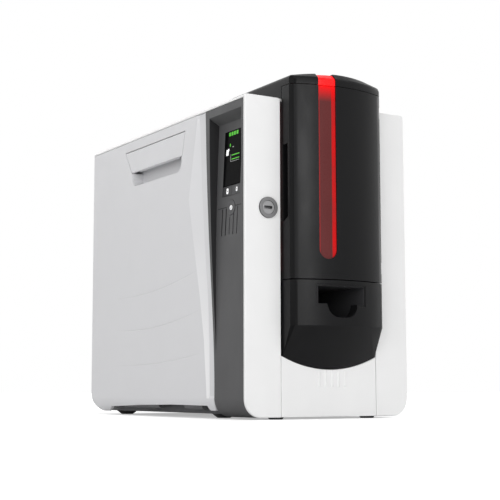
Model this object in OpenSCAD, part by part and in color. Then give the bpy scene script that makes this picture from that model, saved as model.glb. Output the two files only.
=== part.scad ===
// ID card printer: upright desktop machine with a card feeder and output hopper on its
// front, and a drop-down service door and a control strip on its left side.
// Millimetres. +X is to the right seen from the front, -Y is the front, +Z is up.
// Inside the modules Y = 0 is the front plate and Z = 0 the underside of the casing;
// seat() moves that frame so that the origin is under the middle of the whole machine.

/* [Casing] */
// Width of the casing
body_w = 206; // [190:1:230]
// Height of the casing
body_h = 331; // [325:1:340]
// Depth of the casing, from the front plate to its rear edge
body_d = 376; // [370:1:400]
// Wall of the moulded covers
wall = 3; // [2:0.5:3.5]
// Radius of the two lower edges
low_r = 19; // [14:1:24]
// Radius of the two upper edges
top_r = 3.5; // [3:0.5:6]
// Radius of the rear lower corner, seen from the side
rear_r = 27; // [20:1:32]
// Height of the white band that runs over the side door
band_h = 3.7; // [3.5:0.1:6]
// Gap of the feet under the casing
foot_drop = 2; // [1.5:0.5:5]
// Seam between neighbouring covers
seam = 0.6; // [0.4:0.1:1]

/* [Feeder module] */
// Width of the black front module
mod_w = 117; // [110:1:117]
// How far the module's arched front stands out of the front plate
mod_out = 30.5; // [28:0.5:36]
// How far the ends of the arch stand out
mod_end = 18.2; // [17:0.2:20]
// Chamfer between the arch and the module's sides
mod_chamfer = 3.6; // [2:0.2:5]
// Width of the opening in the front plate
bay_w = 121; // [120:1:126]
// Joint between hopper and feeder door, below the card path
hopper_down = 11.4; // [10:0.2:12]
// Joint between feeder door and lid, over the casing's top
lid_up = 12.4; // [12:0.2:14]
// Height of the lid's crown over that joint
crown_up = 13.9; // [12:0.1:16]
// Rear end of the lid
lid_rear = 105; // [103:1:108]
// Wall of the module's mouldings
mod_wall = 2.5; // [2:0.1:3]

/* [Red window] */
// Width of the window stripe
win_w = 20; // [14:1:22]
// Middle of the stripe, left of the machine's middle
win_x = -20; // [-22:1:-14]
// Lower end of the stripe over the feeder door's lower edge
win_up = 20.6; // [14:0.2:40]
// Depth of the stripe's face behind the cover
win_sunk = 1.5; // [1:0.1:2]

/* [Cards] */
// Width of a card as it lies in the machine
card_w = 54; // [54:0.02:54.4]
// Length of a card
card_l = 85.6; // [85.6:0.02:86]
// Middle of the card path, left of the machine's middle
card_x = -3.2; // [-5:0.2:0]
// Card path below the casing's top
path_down = 180; // [179:0.5:181]
// Lowest edge of the output slot, below the joint of hopper and feeder door
slot_down = 24.1; // [22:0.1:26]
// Height of the output slot
slot_h = 18; // [16:0.5:19]

/* [Side door] */
// Turning axis of the door, in from the door's outer face
pivot_in = 11; // [10.5:0.1:11.5]
// Height of the door's turning axis
pivot_z = 12; // [11.5:0.5:13]
// Radius of the hinge pins
pin_r = 2; // [1.5:0.1:2.5]
// Running clearance of pins and shafts, on the radius
run = 0.05; // [0.03:0.01:0.08]
// Handle flap's upper edge, below the casing's top
flap_down = 16.4; // [15:0.2:19]
// Height of the handle flap
flap_h = 26.4; // [24:0.2:28]

/* [Drive] */
// Radius of the card transport rollers
roller_r = 7; // [6.5:0.1:7.2]
// Radius of the roller shafts
shaft_r = 3; // [2.5:0.1:3.5]
// Module of the gears
gear_m = 0.8; // [0.6:0.1:0.8]
// Teeth on each roller gear
roller_teeth = 28; // [26:1:28]
// Thickness of the steel plates
plate_t = 1.5; // [1:0.1:2]

/* [Hidden] */
$fn = 64;

half_w = body_w / 2;
path_z = body_h - path_down;
hopper_top = path_z - hopper_down;
slot_z = hopper_top - slot_down;
door_low = hopper_top + 1;
win_z = door_low + win_up;
lid_z = body_h + lid_up;
crown_z = lid_z + crown_up;
flap_top = body_h - flap_down;
mid_y = (body_d - mod_out) / 2;
bay = bay_w / 2;
mod_x = mod_w / 2;
axis_x = -half_w + pivot_in;
eps = 0.01;

// Places the machine's frame over the origin
module seat() {
    translate([0, -mid_y, foot_drop]) children();
}

// Extrudes a drawing of (x, z) from y0 to y1
module along_y(y0, y1) {
    translate([0, y1, 0]) rotate([90, 0, 0]) linear_extrude(y1 - y0) children();
}

// Extrudes a drawing of (y, z) from x0 to x1
module along_x(x0, x1) {
    translate([x0, 0, 0]) rotate([90, 0, 90]) linear_extrude(x1 - x0) children();
}

// Extrudes a drawing of (x, y) from z0 to z1
module along_z(z0, z1) {
    translate([0, 0, z0]) linear_extrude(z1 - z0) children();
}

// Box between two corners
module block(low, high) {
    translate(low) cube(high - low);
}

// Rod along X
module rod_x(x0, x1, y, z, r) {
    translate([x0, y, z]) rotate([0, 90, 0]) cylinder(h = x1 - x0, r = r);
}

// Rod along Y
module rod_y(y0, y1, x, z, r) {
    translate([x, y1, z]) rotate([90, 0, 0]) cylinder(h = y1 - y0, r = r);
}

// Point at t on a cubic curve through four control points
function bez(p, t) = pow(1 - t, 3) * p[0] + 3 * t * pow(1 - t, 2) * p[1]
    + 3 * t * t * (1 - t) * p[2] + pow(t, 3) * p[3];

// ---- casing -------------------------------------------------------------------------

// Front view of the casing, drawn in by d
module body_face(d) {
    w = half_w - d;
    low = low_r - d;
    top = max(top_r - d, 0.5);
    translate([-w + low, d]) square([2 * (w - low), low + eps]);
    translate([-w, low + d]) square([2 * w, body_h - 2 * d - low - top]);
    translate([-w + top, body_h - d - top - eps]) square([2 * (w - top), top + eps]);
    for (s = [-1, 1]) {
        translate([s * (w - low), low + d]) circle(r = low);
        translate([s * (w - top), body_h - d - top]) circle(r = top);
    }
}

// Ring of the casing's wall
module body_ring() {
    difference() {
        body_face(0);
        body_face(wall);
    }
}

// Cuts the rear lower corner round, seen from the side
module rear_corner_cut() {
    along_x(-half_w - 1, half_w + 1) difference() {
        translate([body_d - rear_r, -1]) square([rear_r + 1, rear_r + 1]);
        translate([body_d - rear_r, rear_r]) circle(r = rear_r);
    }
}

// Width of the side zone that the door and the casing's flank close
side_zone = 23;
base_x = half_w - side_zone;
base_z = 2.5;
base_wall = 2.5;
base_rim = 17;
lug_r = 5;
front_lugs = [[100, 108], [130.5, 140]];
front_knuckle = [108.5, 130];
rear_lugs = [[201, 231], [265, 295]];
rear_knuckle = [231.5, 264.5];
pan_front = 8;
pan_rear = body_d - 9.5;

module base_pan() {
    color([0.2, 0.2, 0.21]) seat() difference() {
        union() {
            difference() {
                block([-base_x, pan_front, base_z], [base_x, pan_rear, base_rim]);
                block([-base_x + base_wall, pan_front + base_wall, base_z + base_wall],
                      [base_x - base_wall, pan_rear - base_wall, base_rim + 1]);
            }
            for (span = concat(front_lugs, rear_lugs)) {
                along_y(span[0], span[1]) {
                    translate([axis_x, pivot_z]) circle(r = lug_r);
                    translate([axis_x, pivot_z - pin_r])
                        square([-base_x - axis_x + 1, lug_r + pin_r]);
                }
            }
            for (s = [-1, 1]) {
                block([s * tray_rail - 1.5, 12, base_z + base_wall - eps],
                      [s * tray_rail + 1.5, 96, tray_z + 5]);
            }
        }
        rod_y(front_lugs[0][0] - 1, front_lugs[1][1] + 1, axis_x, pivot_z, pin_r + run);
        rod_y(rear_lugs[0][0] - 1, rear_lugs[1][1] + 1, axis_x, pivot_z, pin_r + run);
        block([-bay - 3, pan_front - 1, base_z + base_wall],
              [bay + 3, pan_front + base_wall + 1, base_rim + 1]);
        for (n = [0:9]) {
            block([-40 + vent_pitch * n, pan_rear - 116.5, 0],
                  [-36 + vent_pitch * n, pan_rear - 46.5, base_rim]);
        }
    }
}

foot_tip = 14;
// Half the spread, the depth and the upper width of each pair of feet
foot_spots = [[base_x - 22, 14, 20], [base_x - 13, 104, 26], [base_x - 13, body_d - 31, 26]];

// Tapered rubber foot
module foot(x, y, top) {
    translate([x, y, -foot_drop]) {
        cylinder(h = base_z + foot_drop, r1 = foot_tip / 2, r2 = top / 2, $fn = 48);
    }
}

module feet() {
    color([0.07, 0.07, 0.07]) seat() {
        for (p = foot_spots, s = [-1, 1]) foot(s * p[0], p[1], p[2]);
    }
}

vent_count = 14;
vent_pitch = 9;
top_hole_x = 56;
top_hole_y = lid_rear - 5.5;
flank_vent_y = body_d - 166;
screw_y = [40, body_d - 46];
screw_z = body_h - 41;
screw_r = 2;
head_r = 3.4;
head_sink = 1.5;

module casing() {
    color([0.94, 0.94, 0.94]) seat() difference() {
        along_y(wall, body_d) body_ring();
        block([-half_w - 1, 0, -1], [base_x + 0.5, body_d + 1, low_r + 1]);
        block([-half_w - 1, 0, -1], [0, body_d + 1, body_h - band_h]);
        block([-top_hole_x, -1, body_h - wall - 1], [top_hole_x, top_hole_y, body_h + 1]);
        rear_corner_cut();
        for (n = [0:vent_count - 1]) {
            block([half_w - wall - 1, flank_vent_y + vent_pitch * n, 60],
                  [half_w + 1, flank_vent_y + vent_pitch * n + 3, 130]);
        }
        for (y = screw_y) {
            rod_x(half_w - wall - 1, half_w + 1, y, screw_z, screw_r + 0.2);
            rod_x(half_w - head_sink, half_w + 1, y, screw_z, head_r + 0.2);
        }
    }
}

round_e = 1.6;
inner_r = 4;
lock_off = 6.25;
lock_x = -(bay + half_w) / 2 + lock_off;
lock_z = 214;
lock_r = 9;

module front_frame() {
    color([0.95, 0.95, 0.95]) seat() difference() {
        union() {
            difference() {
                hull() {
                    along_y(round_e, wall - 0.02) body_face(0);
                    along_y(round_e * 0.3, wall - 0.02) body_face(round_e * 0.3);
                    along_y(0, wall - 0.02) body_face(round_e);
                }
                translate([0, -1, 0]) along_y(0, wall + 2) bay_drawing();
            }
            for (s = [-1, 1]) {
                block([s * (bay + 1) - 1, wall - 0.1, 8], [s * (bay + 1) + 1, 14, body_h - 9]);
            }
            block([-bay - 2, wall + 0.4, base_z], [bay + 2, wall + 4.5, base_z + 4]);
            for (s = [-1, 1]) {
                block([s * (bay + 1) - 1, wall - 0.1, base_z], [s * (bay + 1) + 1, 7.5, 9]);
            }
        }
        rod_y(-1, wall + 1, lock_x, lock_z, lock_r + 0.1);
        // Room for the lock's cam
        block([-bay - 3, wall + 0.4, lock_z - 28], [-bay + 1, 15, lock_z + 12]);
    }
}

// Opening between the pillars, with small fillets at its top
module bay_drawing() {
    translate([-bay, -1]) square([bay_w, body_h + 2]);
    for (s = [-1, 1]) {
        difference() {
            translate([s * bay - (s > 0 ? 0 : inner_r), body_h - inner_r])
                square([inner_r, inner_r + 1]);
            translate([s * (bay + inner_r), body_h - inner_r]) circle(r = inner_r);
        }
    }
}

panel_y = body_d - 10;
panel_low = 20;
inlet_w = 27.5;
inlet_h = 20;
inlet_x = 30;
inlet_z = 50;
switch_x = -8;
port_x = 20;
port_z = inlet_z + 100;
fan_x = 15;
fan_z = body_h - 81;
fan_s = 60;
slat_pitch = 7;
panel_screw_x = [-half_w + 18, half_w - 9];
panel_screw_z = [30, body_h - 21];

module rear_panel() {
    color([0.55, 0.56, 0.57]) seat() difference() {
        intersection() {
            along_y(panel_y - wall, panel_y) body_face(wall + 0.3);
            block([-half_w + 8, 0, panel_low], [half_w, body_d, body_h]);
        }
        block([inlet_x - inlet_w / 2, panel_y - wall - 1, inlet_z - inlet_h / 2],
              [inlet_x + inlet_w / 2, panel_y + 1, inlet_z + inlet_h / 2]);
        block([switch_x - 7, panel_y - wall - 1, inlet_z - 10.2],
              [switch_x + 7, panel_y + 1, inlet_z + 10.2]);
        block([port_x - 9, panel_y - wall - 1, port_z - 8],
              [port_x + 9, panel_y + 1, port_z + 8]);
        block([port_x - 7, panel_y - wall - 1, port_z + 19],
              [port_x + 7, panel_y + 1, port_z + 32]);
        for (n = [-3:3]) {
            block([fan_x - 24, panel_y - wall - 1, fan_z + slat_pitch * n - 2],
                  [fan_x + 24, panel_y + 1, fan_z + slat_pitch * n + 2]);
        }
        for (n = [0:15]) {
            block([-base_x, panel_y - wall - 1, 60 + slat_pitch * n],
                  [-30, panel_y + 1, 63 + slat_pitch * n]);
        }
        for (x = panel_screw_x, z = panel_screw_z) {
            rod_y(panel_y - wall - 1, panel_y + 1, x, z, 1.8);
        }
    }
}

module cover_screws() {
    color([0.35, 0.35, 0.37]) seat() {
        for (y = screw_y) {
            rod_x(half_w - wall - 6, half_w - head_sink + 0.3, y, screw_z, screw_r);
            difference() {
                rod_x(half_w - head_sink, half_w - 0.2, y, screw_z, head_r);
                rod_x(half_w - 1, half_w + 1, y, screw_z, 1.4);
            }
        }
        for (x = panel_screw_x, z = panel_screw_z) {
            rod_y(panel_y - wall - 5, panel_y, x, z, 1.7);
            difference() {
                rod_y(panel_y, panel_y + 1.6, x, z, 3.2);
                rod_y(panel_y + 0.8, panel_y + 3, x, z, 1.2);
            }
        }
    }
}

// ---- side door ----------------------------------------------------------------------

door_top = body_h - band_h - seam;
door_rear = body_d - 1;
// Control points of the door's curved front edge: y, z
edge_curve = [[62.7, 18], [62, 110], [78, 160], [83, door_top]];
edge_steps = 20;
function edge_point(n) = bez(edge_curve, n / edge_steps);

// Side view of the door
module door_drawing() {
    difference() {
        union() {
            polygon(concat(
                [[door_rear, door_top], [door_rear, rear_r], [door_rear - rear_r, 1],
                 [door_rear - rear_r - 7, 1], [door_rear - rear_r - 26, 8.2],
                 [240, 10.6], [160, 11.9], [80, 11.5], [78, 7], [77, 6.4], [67, 6.4],
                 [64.2, 8.5], [63, 12]],
                [for (n = [0:edge_steps]) edge_point(n)]));
            translate([door_rear - rear_r, rear_r]) circle(r = rear_r - 0.2);
        }
        difference() {
            translate([door_rear - rear_r, -1]) square([rear_r + 1, rear_r + 1]);
            translate([door_rear - rear_r, rear_r]) circle(r = rear_r);
        }
    }
}

scoop_y = [137.2, 263.2];
scoop_r = 11;
scoop_wall = 2;
pocket_in = 14;
flap_low = flap_top - flap_h;
scoop_z = flap_low - 17.5;
pocket_low = scoop_z - 3.7;
pocket_top = flap_top + 4.4;
rib_rear = door_rear - 13;
flap_gap = 0.7;

// Handle flap in the side view, larger by g all round
module flap_drawing(g) {
    polygon([[129.3 - 1.2 * g, flap_top + g], [281.2 + 1.4 * g, flap_top + g],
             [264 + 1.2 * g, flap_low - g], [136.4 - 1.1 * g, flap_low - g]]);
}

// Finger scoop under the flap, larger by g all round
module scoop_drawing(g) {
    for (y = [scoop_y[0] + scoop_r, scoop_y[1] - scoop_r]) {
        translate([y, scoop_z + scoop_r]) circle(r = scoop_r + g);
    }
    translate([scoop_y[0] + scoop_r, scoop_z - g])
        square([scoop_y[1] - scoop_y[0] - 2 * scoop_r, scoop_r + g]);
    translate([scoop_y[0] - g, scoop_z + scoop_r])
        square([scoop_y[1] - scoop_y[0] + 2 * g, flap_low - scoop_z - scoop_r + 1]);
}

module side_door() {
    pocket_x = -half_w + wall + pocket_in;
    color([0.8, 0.81, 0.82]) seat() difference() {
        union() {
            intersection() {
                along_y(0, body_d) body_ring();
                along_x(-half_w - 1, -half_w + pivot_in - 1) door_drawing();
            }
            block([-half_w + wall - eps, 126, flap_low - scoop_wall], [pocket_x, 286, pocket_top]);
            along_x(-half_w + wall - eps, pocket_x) scoop_drawing(scoop_wall);
            for (span = [front_knuckle, rear_knuckle]) {
                along_y(span[0], span[1]) {
                    translate([axis_x, pivot_z]) circle(r = lug_r);
                    translate([-half_w + 1.5, pivot_z + 1]) square([pivot_in - 1.5, lug_r - 1]);
                }
            }
            for (z = [60, 150, pocket_low - 27]) {
                block([-half_w + wall - eps, 94, z], [-half_w + wall + 4, rib_rear, z + 2]);
            }
            for (y = [92, rib_rear]) {
                block([-half_w + wall - eps, y, 30], [-half_w + wall + 4, y + 2, body_h - 15]);
            }
        }
        along_x(-half_w - 1, pocket_x - 2) {
            flap_drawing(flap_gap);
            scoop_drawing(0);
        }
        along_x(-half_w + wall, pocket_x - 2) {
            translate([128, flap_low]) square([156, pocket_top - 2 - flap_low]);
        }
        rod_y(front_knuckle[0] - 1, front_knuckle[1] + 1, axis_x, pivot_z, pin_r + run);
        rod_y(rear_knuckle[0] - 1, rear_knuckle[1] + 1, axis_x, pivot_z, pin_r + run);
        rod_y(125, 287, flap_axis_x, flap_axis_z, handle_pin_r);
    }
}

module door_hinge_pins() {
    color([0.75, 0.75, 0.77]) seat() {
        rod_y(front_lugs[0][0], front_lugs[1][1], axis_x, pivot_z, pin_r);
        rod_y(rear_lugs[0][0], rear_lugs[1][1], axis_x, pivot_z, pin_r);
    }
}

flap_t = 3;
flap_axis_x = -half_w + flap_t / 2;
flap_axis_z = flap_top - flap_t / 2;
handle_pin_r = 0.8;

module door_handle() {
    color([0.82, 0.83, 0.84]) seat() difference() {
        union() {
            along_x(-half_w, -half_w + flap_t) intersection() {
                flap_drawing(0);
                translate([100, 0]) square([200, flap_axis_z]);
            }
            intersection() {
                along_x(-half_w, -half_w + flap_t) flap_drawing(0);
                rod_y(120, 290, flap_axis_x, flap_axis_z, flap_t / 2);
            }
            along_y(150, 250) translate([-half_w + flap_t - 1, flap_low]) square([4, 2]);
        }
        rod_y(127, 284, flap_axis_x, flap_axis_z, handle_pin_r + run);
    }
}

module handle_pin() {
    color([0.75, 0.75, 0.77]) seat()
        rod_y(126.5, 285.5, flap_axis_x, flap_axis_z, handle_pin_r);
}

module door_catch() {
    color([0.3, 0.3, 0.32]) seat() for (y = [100, door_rear - 45]) {
        difference() {
            block([-half_w + wall + 0.6, y, body_h - wall - 14],
                  [-half_w + wall + 11, y + 18, body_h - wall]);
            block([-half_w + wall + 3, y - 1, body_h - wall - 11],
                  [-half_w + wall + 8, y + 19, body_h - wall - 4]);
        }
    }
}

// ---- control strip ------------------------------------------------------------------

strip_front = wall + 0.2;
rim_y = 7.4;
well_low = 64;
well_top = body_h - 13;
well_slope = 0.0504;
tilt = atan(well_slope);
well_margin = 7.2;
well_curve = [[edge_curve[0][0] - 3.7, well_low], [62, 122], [72, 165],
              [edge_curve[3][0] - well_margin - 2, well_top]];

// Frame on the well's sloping floor: +X into the machine, Z up the slope
module on_floor() {
    translate([-half_w, 0, well_low]) rotate([0, tilt, 0]) children();
}

module strip_drawing() {
    polygon(concat(
        [[edge_curve[3][0] - seam, door_top], [strip_front, door_top], [strip_front, 0],
         [edge_curve[0][0] - seam, 0]],
        [for (n = [0:edge_steps]) edge_point(n) - [seam, 0]]));
}

module well_drawing() {
    polygon(concat([[rim_y, well_top], [rim_y, well_low]],
                   [for (n = [0:edge_steps]) bez(well_curve, n / edge_steps)]));
}

glass_y = [24.5, 60.3];
glass_h = 59;
glass_top = well_top - well_low - 16.5;
glass_z = [glass_top - glass_h, glass_top];
key_z = [glass_z[0] - 11.3, glass_z[0] - 0.5];
glass_t = 1.6;
power_y = 40.8;
power_z = key_z[0] - 13.3;
power_r = 8;
slit_pitch = 7.75;
slit_w = 1.6;
slit_z = [power_z - 28.6, power_z + 0.3];
key_gap = 0.3;
key_mid = (glass_y[0] + glass_y[1]) / 2;

module control_fascia() {
    color([0.33, 0.33, 0.34]) seat() difference() {
        intersection() {
            along_x(-half_w - 1, -base_x - 1) strip_drawing();
            along_y(0, body_d) difference() {
                body_face(0);
                intersection() {
                    body_face(wall);
                    polygon([[-half_w + wall, -1], [-half_w + wall, well_low],
                             [-half_w + wall + well_slope * (body_h - well_low), body_h],
                             [half_w, body_h], [half_w, -1]]);
                }
            }
        }
        intersection() {
            along_x(-half_w - 1, -half_w + 30) well_drawing();
            along_y(0, body_d) polygon([
                [-half_w - 1, well_low - 20], [-half_w, well_low],
                [-half_w + well_slope * (well_top - 7 - well_low), well_top - 7],
                [-half_w, well_top], [-half_w - 1, well_top]]);
        }
        on_floor() {
            block([-1, glass_y[0], key_z[0]], [glass_t + 0.1, glass_y[1], glass_z[1]]);
            block([-1, glass_y[0] + 2, glass_z[0] + 2],
                  [wall + 2, glass_y[1] - 2, glass_z[1] - 2]);
            block([-1, key_mid - 12, key_z[0] + 2], [wall + 2, key_mid + 12, key_z[1] - 2]);
            translate([-1, power_y, power_z]) rotate([0, 90, 0])
                cylinder(h = 2.8, r = power_r + 0.3);
            translate([-1, power_y, power_z]) rotate([0, 90, 0])
                cylinder(h = wall + 3, r = 3 + 0.3);
            for (n = [-2:2]) {
                block([-1, power_y + slit_pitch * n - slit_w / 2 + 2.3, slit_z[0]],
                      [wall + 2, power_y + slit_pitch * n + slit_w / 2 + 2.3,
                       n == 0 ? power_z - power_r - 2 : slit_z[1]]);
            }
        }
        block([-half_w - 1, 0, -1], [-base_x + 1, strip_front, body_h]);
    }
}

module display_glass() {
    color([0.05, 0.05, 0.06]) seat() on_floor()
        block([0.1, glass_y[0] + 0.1, glass_z[0] + 0.1],
              [glass_t + 0.1, glass_y[1] - 0.1, glass_z[1] - 0.1]);
}

module display_panel() {
    color([0.1, 0.11, 0.1]) seat() on_floor()
        block([glass_t + 0.1, glass_y[0] + 2.2, glass_z[0] + 2.2],
              [wall, glass_y[1] - 2.2, glass_z[1] - 2.2]);
}

// Menu key: a cap in the bar under the display, with a stem to the board
module menu_key(y0, y1, stem_y) {
    seat() on_floor() {
        block([0.3, y0, key_z[0] + key_gap], [1.1, y1, key_z[1] - key_gap]);
        translate([1, stem_y, (key_z[0] + key_z[1]) / 2]) rotate([0, 90, 0])
            cylinder(h = wall - 0.8, r = 2.2);
    }
}

module menu_key_left() {
    color([0.16, 0.16, 0.17])
        menu_key(key_mid + key_gap / 2, glass_y[1] - key_gap, key_mid + 9);
}

module menu_key_right() {
    color([0.16, 0.16, 0.17])
        menu_key(glass_y[0] + key_gap, key_mid - key_gap / 2, key_mid - 9);
}

module power_button() {
    color([0.3, 0.3, 0.31]) seat() on_floor() {
        translate([-0.4, power_y, power_z]) rotate([0, 90, 0]) difference() {
            cylinder(h = 1.1, r = power_r);
            translate([0, 0, -1]) cylinder(h = 1.3, r = 2.9);
        }
        translate([0.6, power_y, power_z]) rotate([0, 90, 0]) cylinder(h = wall - 0.4, r = 3);
    }
}

board_x = wall + 1.2;

module control_board() {
    color([0.1, 0.35, 0.2]) seat() on_floor() {
        block([board_x, 14, power_z - 35.9], [board_x + 1.6, 66, glass_z[1] + 2.5]);
        for (z = [power_z - 41.9, glass_z[1] - 1.5]) {
            block([wall, 15, z], [board_x + eps, 21, z + 8]);
        }
        block([board_x + 1.6 - eps, 20, glass_z[0] + 11.5], [board_x + 5, 50, glass_z[0] + 46.5]);
    }
}

// ---- feeder -------------------------------------------------------------------------

arch_r = (pow(mod_x - mod_chamfer, 2) + pow(mod_out - mod_end, 2)) / (2 * (mod_out - mod_end));

// Plan of the module, drawn in by d, back to y1
module mod_plan(d, y1) {
    intersection() {
        translate([0, arch_r - mod_out]) circle(r = arch_r - d, $fn = 180);
        polygon([[-mod_x + d, y1], [-mod_x + d, -mod_end + mod_chamfer + d * 0.4],
                 [-mod_x + mod_chamfer + d * 0.4, -mod_end + d * 0.9 - 0.05],
                 [-mod_x + mod_chamfer + d * 0.4, -mod_out - 1],
                 [mod_x - mod_chamfer - d * 0.4, -mod_out - 1],
                 [mod_x - mod_chamfer - d * 0.4, -mod_end + d * 0.9 - 0.05],
                 [mod_x - d, -mod_end + mod_chamfer + d * 0.4], [mod_x - d, y1]]);
    }
}

pivot_x = mod_x - 4.5;
pivot_y = -6;
door_pin_r = 1.5;
lug_h = 11;
lug_spans = [[door_low + 10.4, door_low + 10.4 + lug_h], [body_h - lug_h, body_h]];
knuckle_h = 12;
knuckle_spans = [[lug_spans[0][1] + 1, lug_spans[0][1] + 1 + knuckle_h],
                 [lug_spans[1][0] - 1 - knuckle_h, lug_spans[1][0] - 1]];
door_pin_z = [lug_spans[0][0], knuckle_spans[1][0]];
door_pin_l = lug_h + 1 + knuckle_h;
recess_z = [lid_z - 138.9, lid_z - 62.4];
door_high = lid_z - seam;
door_back = -0.8;
catch_x = -mod_x + 4;
catch_y = 16;
sweep_r = 10.6;

module feeder_door() {
    color([0.2, 0.2, 0.21]) seat() difference() {
        union() {
            difference() {
                along_z(door_low, door_high) mod_plan(0, door_back);
                along_z(door_low + mod_wall, door_high - mod_wall) mod_plan(mod_wall, 1);
            }
            // Pocket behind the finger recess
            block([-mod_x + mod_wall - eps, -15.5, recess_z[0] - 8.5],
                  [-mod_x + 13, door_back, recess_z[1] + 4]);
            // Knuckles beside the hinge lugs
            for (span = knuckle_spans) {
                along_z(span[0], span[1]) intersection() {
                    mod_plan(mod_wall - 0.1, door_back);
                    union() {
                        translate([pivot_x, pivot_y]) circle(r = 4);
                        translate([pivot_x, pivot_y - 12]) square([6, 14]);
                    }
                }
            }
        }
        // Window slot with its round lower end
        along_y(-mod_out - 5, -mod_out + 14) window_drawing(0);
        // Room for the rear edge to turn past the frame
        block([mod_x - 8, -1.7, door_low - 1], [mod_x + 1, 1, door_high + 1]);
        // Finger recess
        along_x(-mod_x - 1, -mod_x + 11.5) polygon([
            [-2, recess_z[1]], [-11.5, recess_z[1]], [-11.5, recess_z[0]],
            [-2, recess_z[0] - 4.5]]);
        // Room for the hinge lugs through the whole swing
        for (span = lug_spans) {
            translate([pivot_x, pivot_y, span[0] - 0.5])
                cylinder(h = span[1] - span[0] + 1, r = sweep_r);
        }
        for (z = door_pin_z) {
            translate([pivot_x, pivot_y, z - 1]) cylinder(h = door_pin_l + 2, r = door_pin_r + run);
        }
    }
}

// Keeper behind the door's left edge, which the lock's cam holds
module door_keeper() {
    color([0.7, 0.71, 0.72]) seat() difference() {
        union() {
            block([catch_x, door_back, lock_z - 12], [catch_x + 2, catch_y, lock_z + 6]);
            block([catch_x, door_back, lock_z - 12], [catch_x + 8, door_back + 1, lock_z + 6]);
        }
        block([catch_x - 1, 9, lock_z - 9], [catch_x + 3, 13.5, lock_z + 4.4]);
    }
}

// Window stripe in the front view, larger by g
module window_drawing(g) {
    r = win_w / 2;
    translate([win_x, win_z + r]) circle(r = r + g);
    translate([win_x - r - g, win_z + r]) square([win_w + 2 * g, door_high - win_z]);
}

// Curved sheet behind the module's face, from inset a to inset b
module face_sheet(a, b, z0, z1) {
    along_z(z0, z1) difference() {
        translate([0, arch_r - mod_out]) circle(r = arch_r - a, $fn = 180);
        translate([0, arch_r - mod_out]) circle(r = arch_r - b, $fn = 180);
        translate([-200, -mod_end + 8]) square([400, 400]);
    }
}

module feeder_window() {
    color([0.75, 0.1, 0.1, 0.8]) seat() {
        intersection() {
            face_sheet(win_sunk, mod_wall + 0.1, door_low, door_high - 0.1);
            along_y(-mod_out - 1, 0) window_drawing(-0.1);
        }
        intersection() {
            face_sheet(mod_wall + 0.05, mod_wall + 1.4, door_low + 4, door_high - mod_wall - 0.1);
            along_y(-mod_out - 1, 0) window_drawing(2);
        }
    }
}

module door_pivot_pins() {
    color([0.75, 0.75, 0.77]) seat() for (z = door_pin_z) {
        translate([pivot_x, pivot_y, z]) cylinder(h = door_pin_l, r = door_pin_r);
    }
}

hinge_y = lid_rear - 4;
hinge_z = body_h + 4.5;
lid_pin_r = 1.5;
lid_lug_r = 3.4;
lid_lug_x = mod_x - 5.3;
ear_x = [mod_x - 14.5, mod_x - 9.5];
ear_low = body_h - 31;
side_low = slot_z - 17.5;

// Fixed frame of the feeder, behind its door
module feeder_frame() {
    color([0.13, 0.13, 0.14]) seat() difference() {
        union() {
            block([-mod_x, 0.5, hopper_top + 0.6], [mod_x, 3 + eps, body_h - wall - 0.3]);
            for (s = [-1, 1]) {
                block([s * (mod_x - 1.25) - 1.25, 3, side_low],
                      [s * (mod_x - 1.25) + 1.25, hinge_y - 2, body_h - 3.5]);
                along_x(s * (ear_x[0] + ear_x[1]) / 2 - 2.5, s * (ear_x[0] + ear_x[1]) / 2 + 2.5) {
                    translate([hinge_y, hinge_z]) circle(r = lid_lug_r);
                    translate([hinge_y - 9, ear_low]) square([7, hinge_z + 1 - ear_low]);
                }
                block([s * (mod_x - 6.5) - 5, hinge_y - 9, ear_low],
                      [s * (mod_x - 6.5) + 5, hinge_y - 2, ear_low + 12]);
            }
            for (span = lug_spans) {
                along_z(span[0], span[1]) {
                    translate([pivot_x, pivot_y]) circle(r = 3.6);
                    translate([pivot_x - 3.6, pivot_y]) square([7.2, 8]);
                }
            }
            block([-mod_x, 60, side_low], [card_x - slot_x - 3, 62.5, hopper_top - 3]);
            block([card_x + slot_x + 3, 60, side_low], [mod_x, 62.5, hopper_top - 3]);
        }
        // Mouth of the magazine
        block([card_x - card_w / 2 - 6, -1, hopper_top + 5],
              [card_x + card_w / 2 + 6, 4, body_h + 1]);
        // Slot for the door's catch and room for the lock's cam
        block([-mod_x + 1, -1, lock_z - 14], [catch_x + 4, 4, lock_z + 8]);
        block([-mod_x - 1, 2.8, lock_z - 28], [-mod_x + 4, 22, lock_z + 12]);
        for (span = lug_spans) {
            translate([pivot_x, pivot_y, span[0] - 1])
                cylinder(h = span[1] - span[0] + 2, r = door_pin_r + run);
        }
        rod_x(-60, 60, hinge_y, hinge_z, lid_pin_r + run);
        // Shaft holes of the pick roller
        rod_x(-mod_x - 1, mod_x + 1, pick_y, pick_z, shaft_r + run);
    }
}

lid_round = 3;
strips = 8;
crown_sag = 4;
// Heights over the joint: straight side, then the steps of the rounded edge, and the hollow
lid_side = 5.6;
lid_edge = [6.6, 8.1, 8.6, 9.6];
lid_hollow = 7.1;
function arch_y(x, d) = arch_r - mod_out - sqrt(pow(arch_r - d, 2) - x * x);
function crown(x) = crown_z - crown_sag * pow(x / (mod_x - lid_round), 2);

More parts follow.
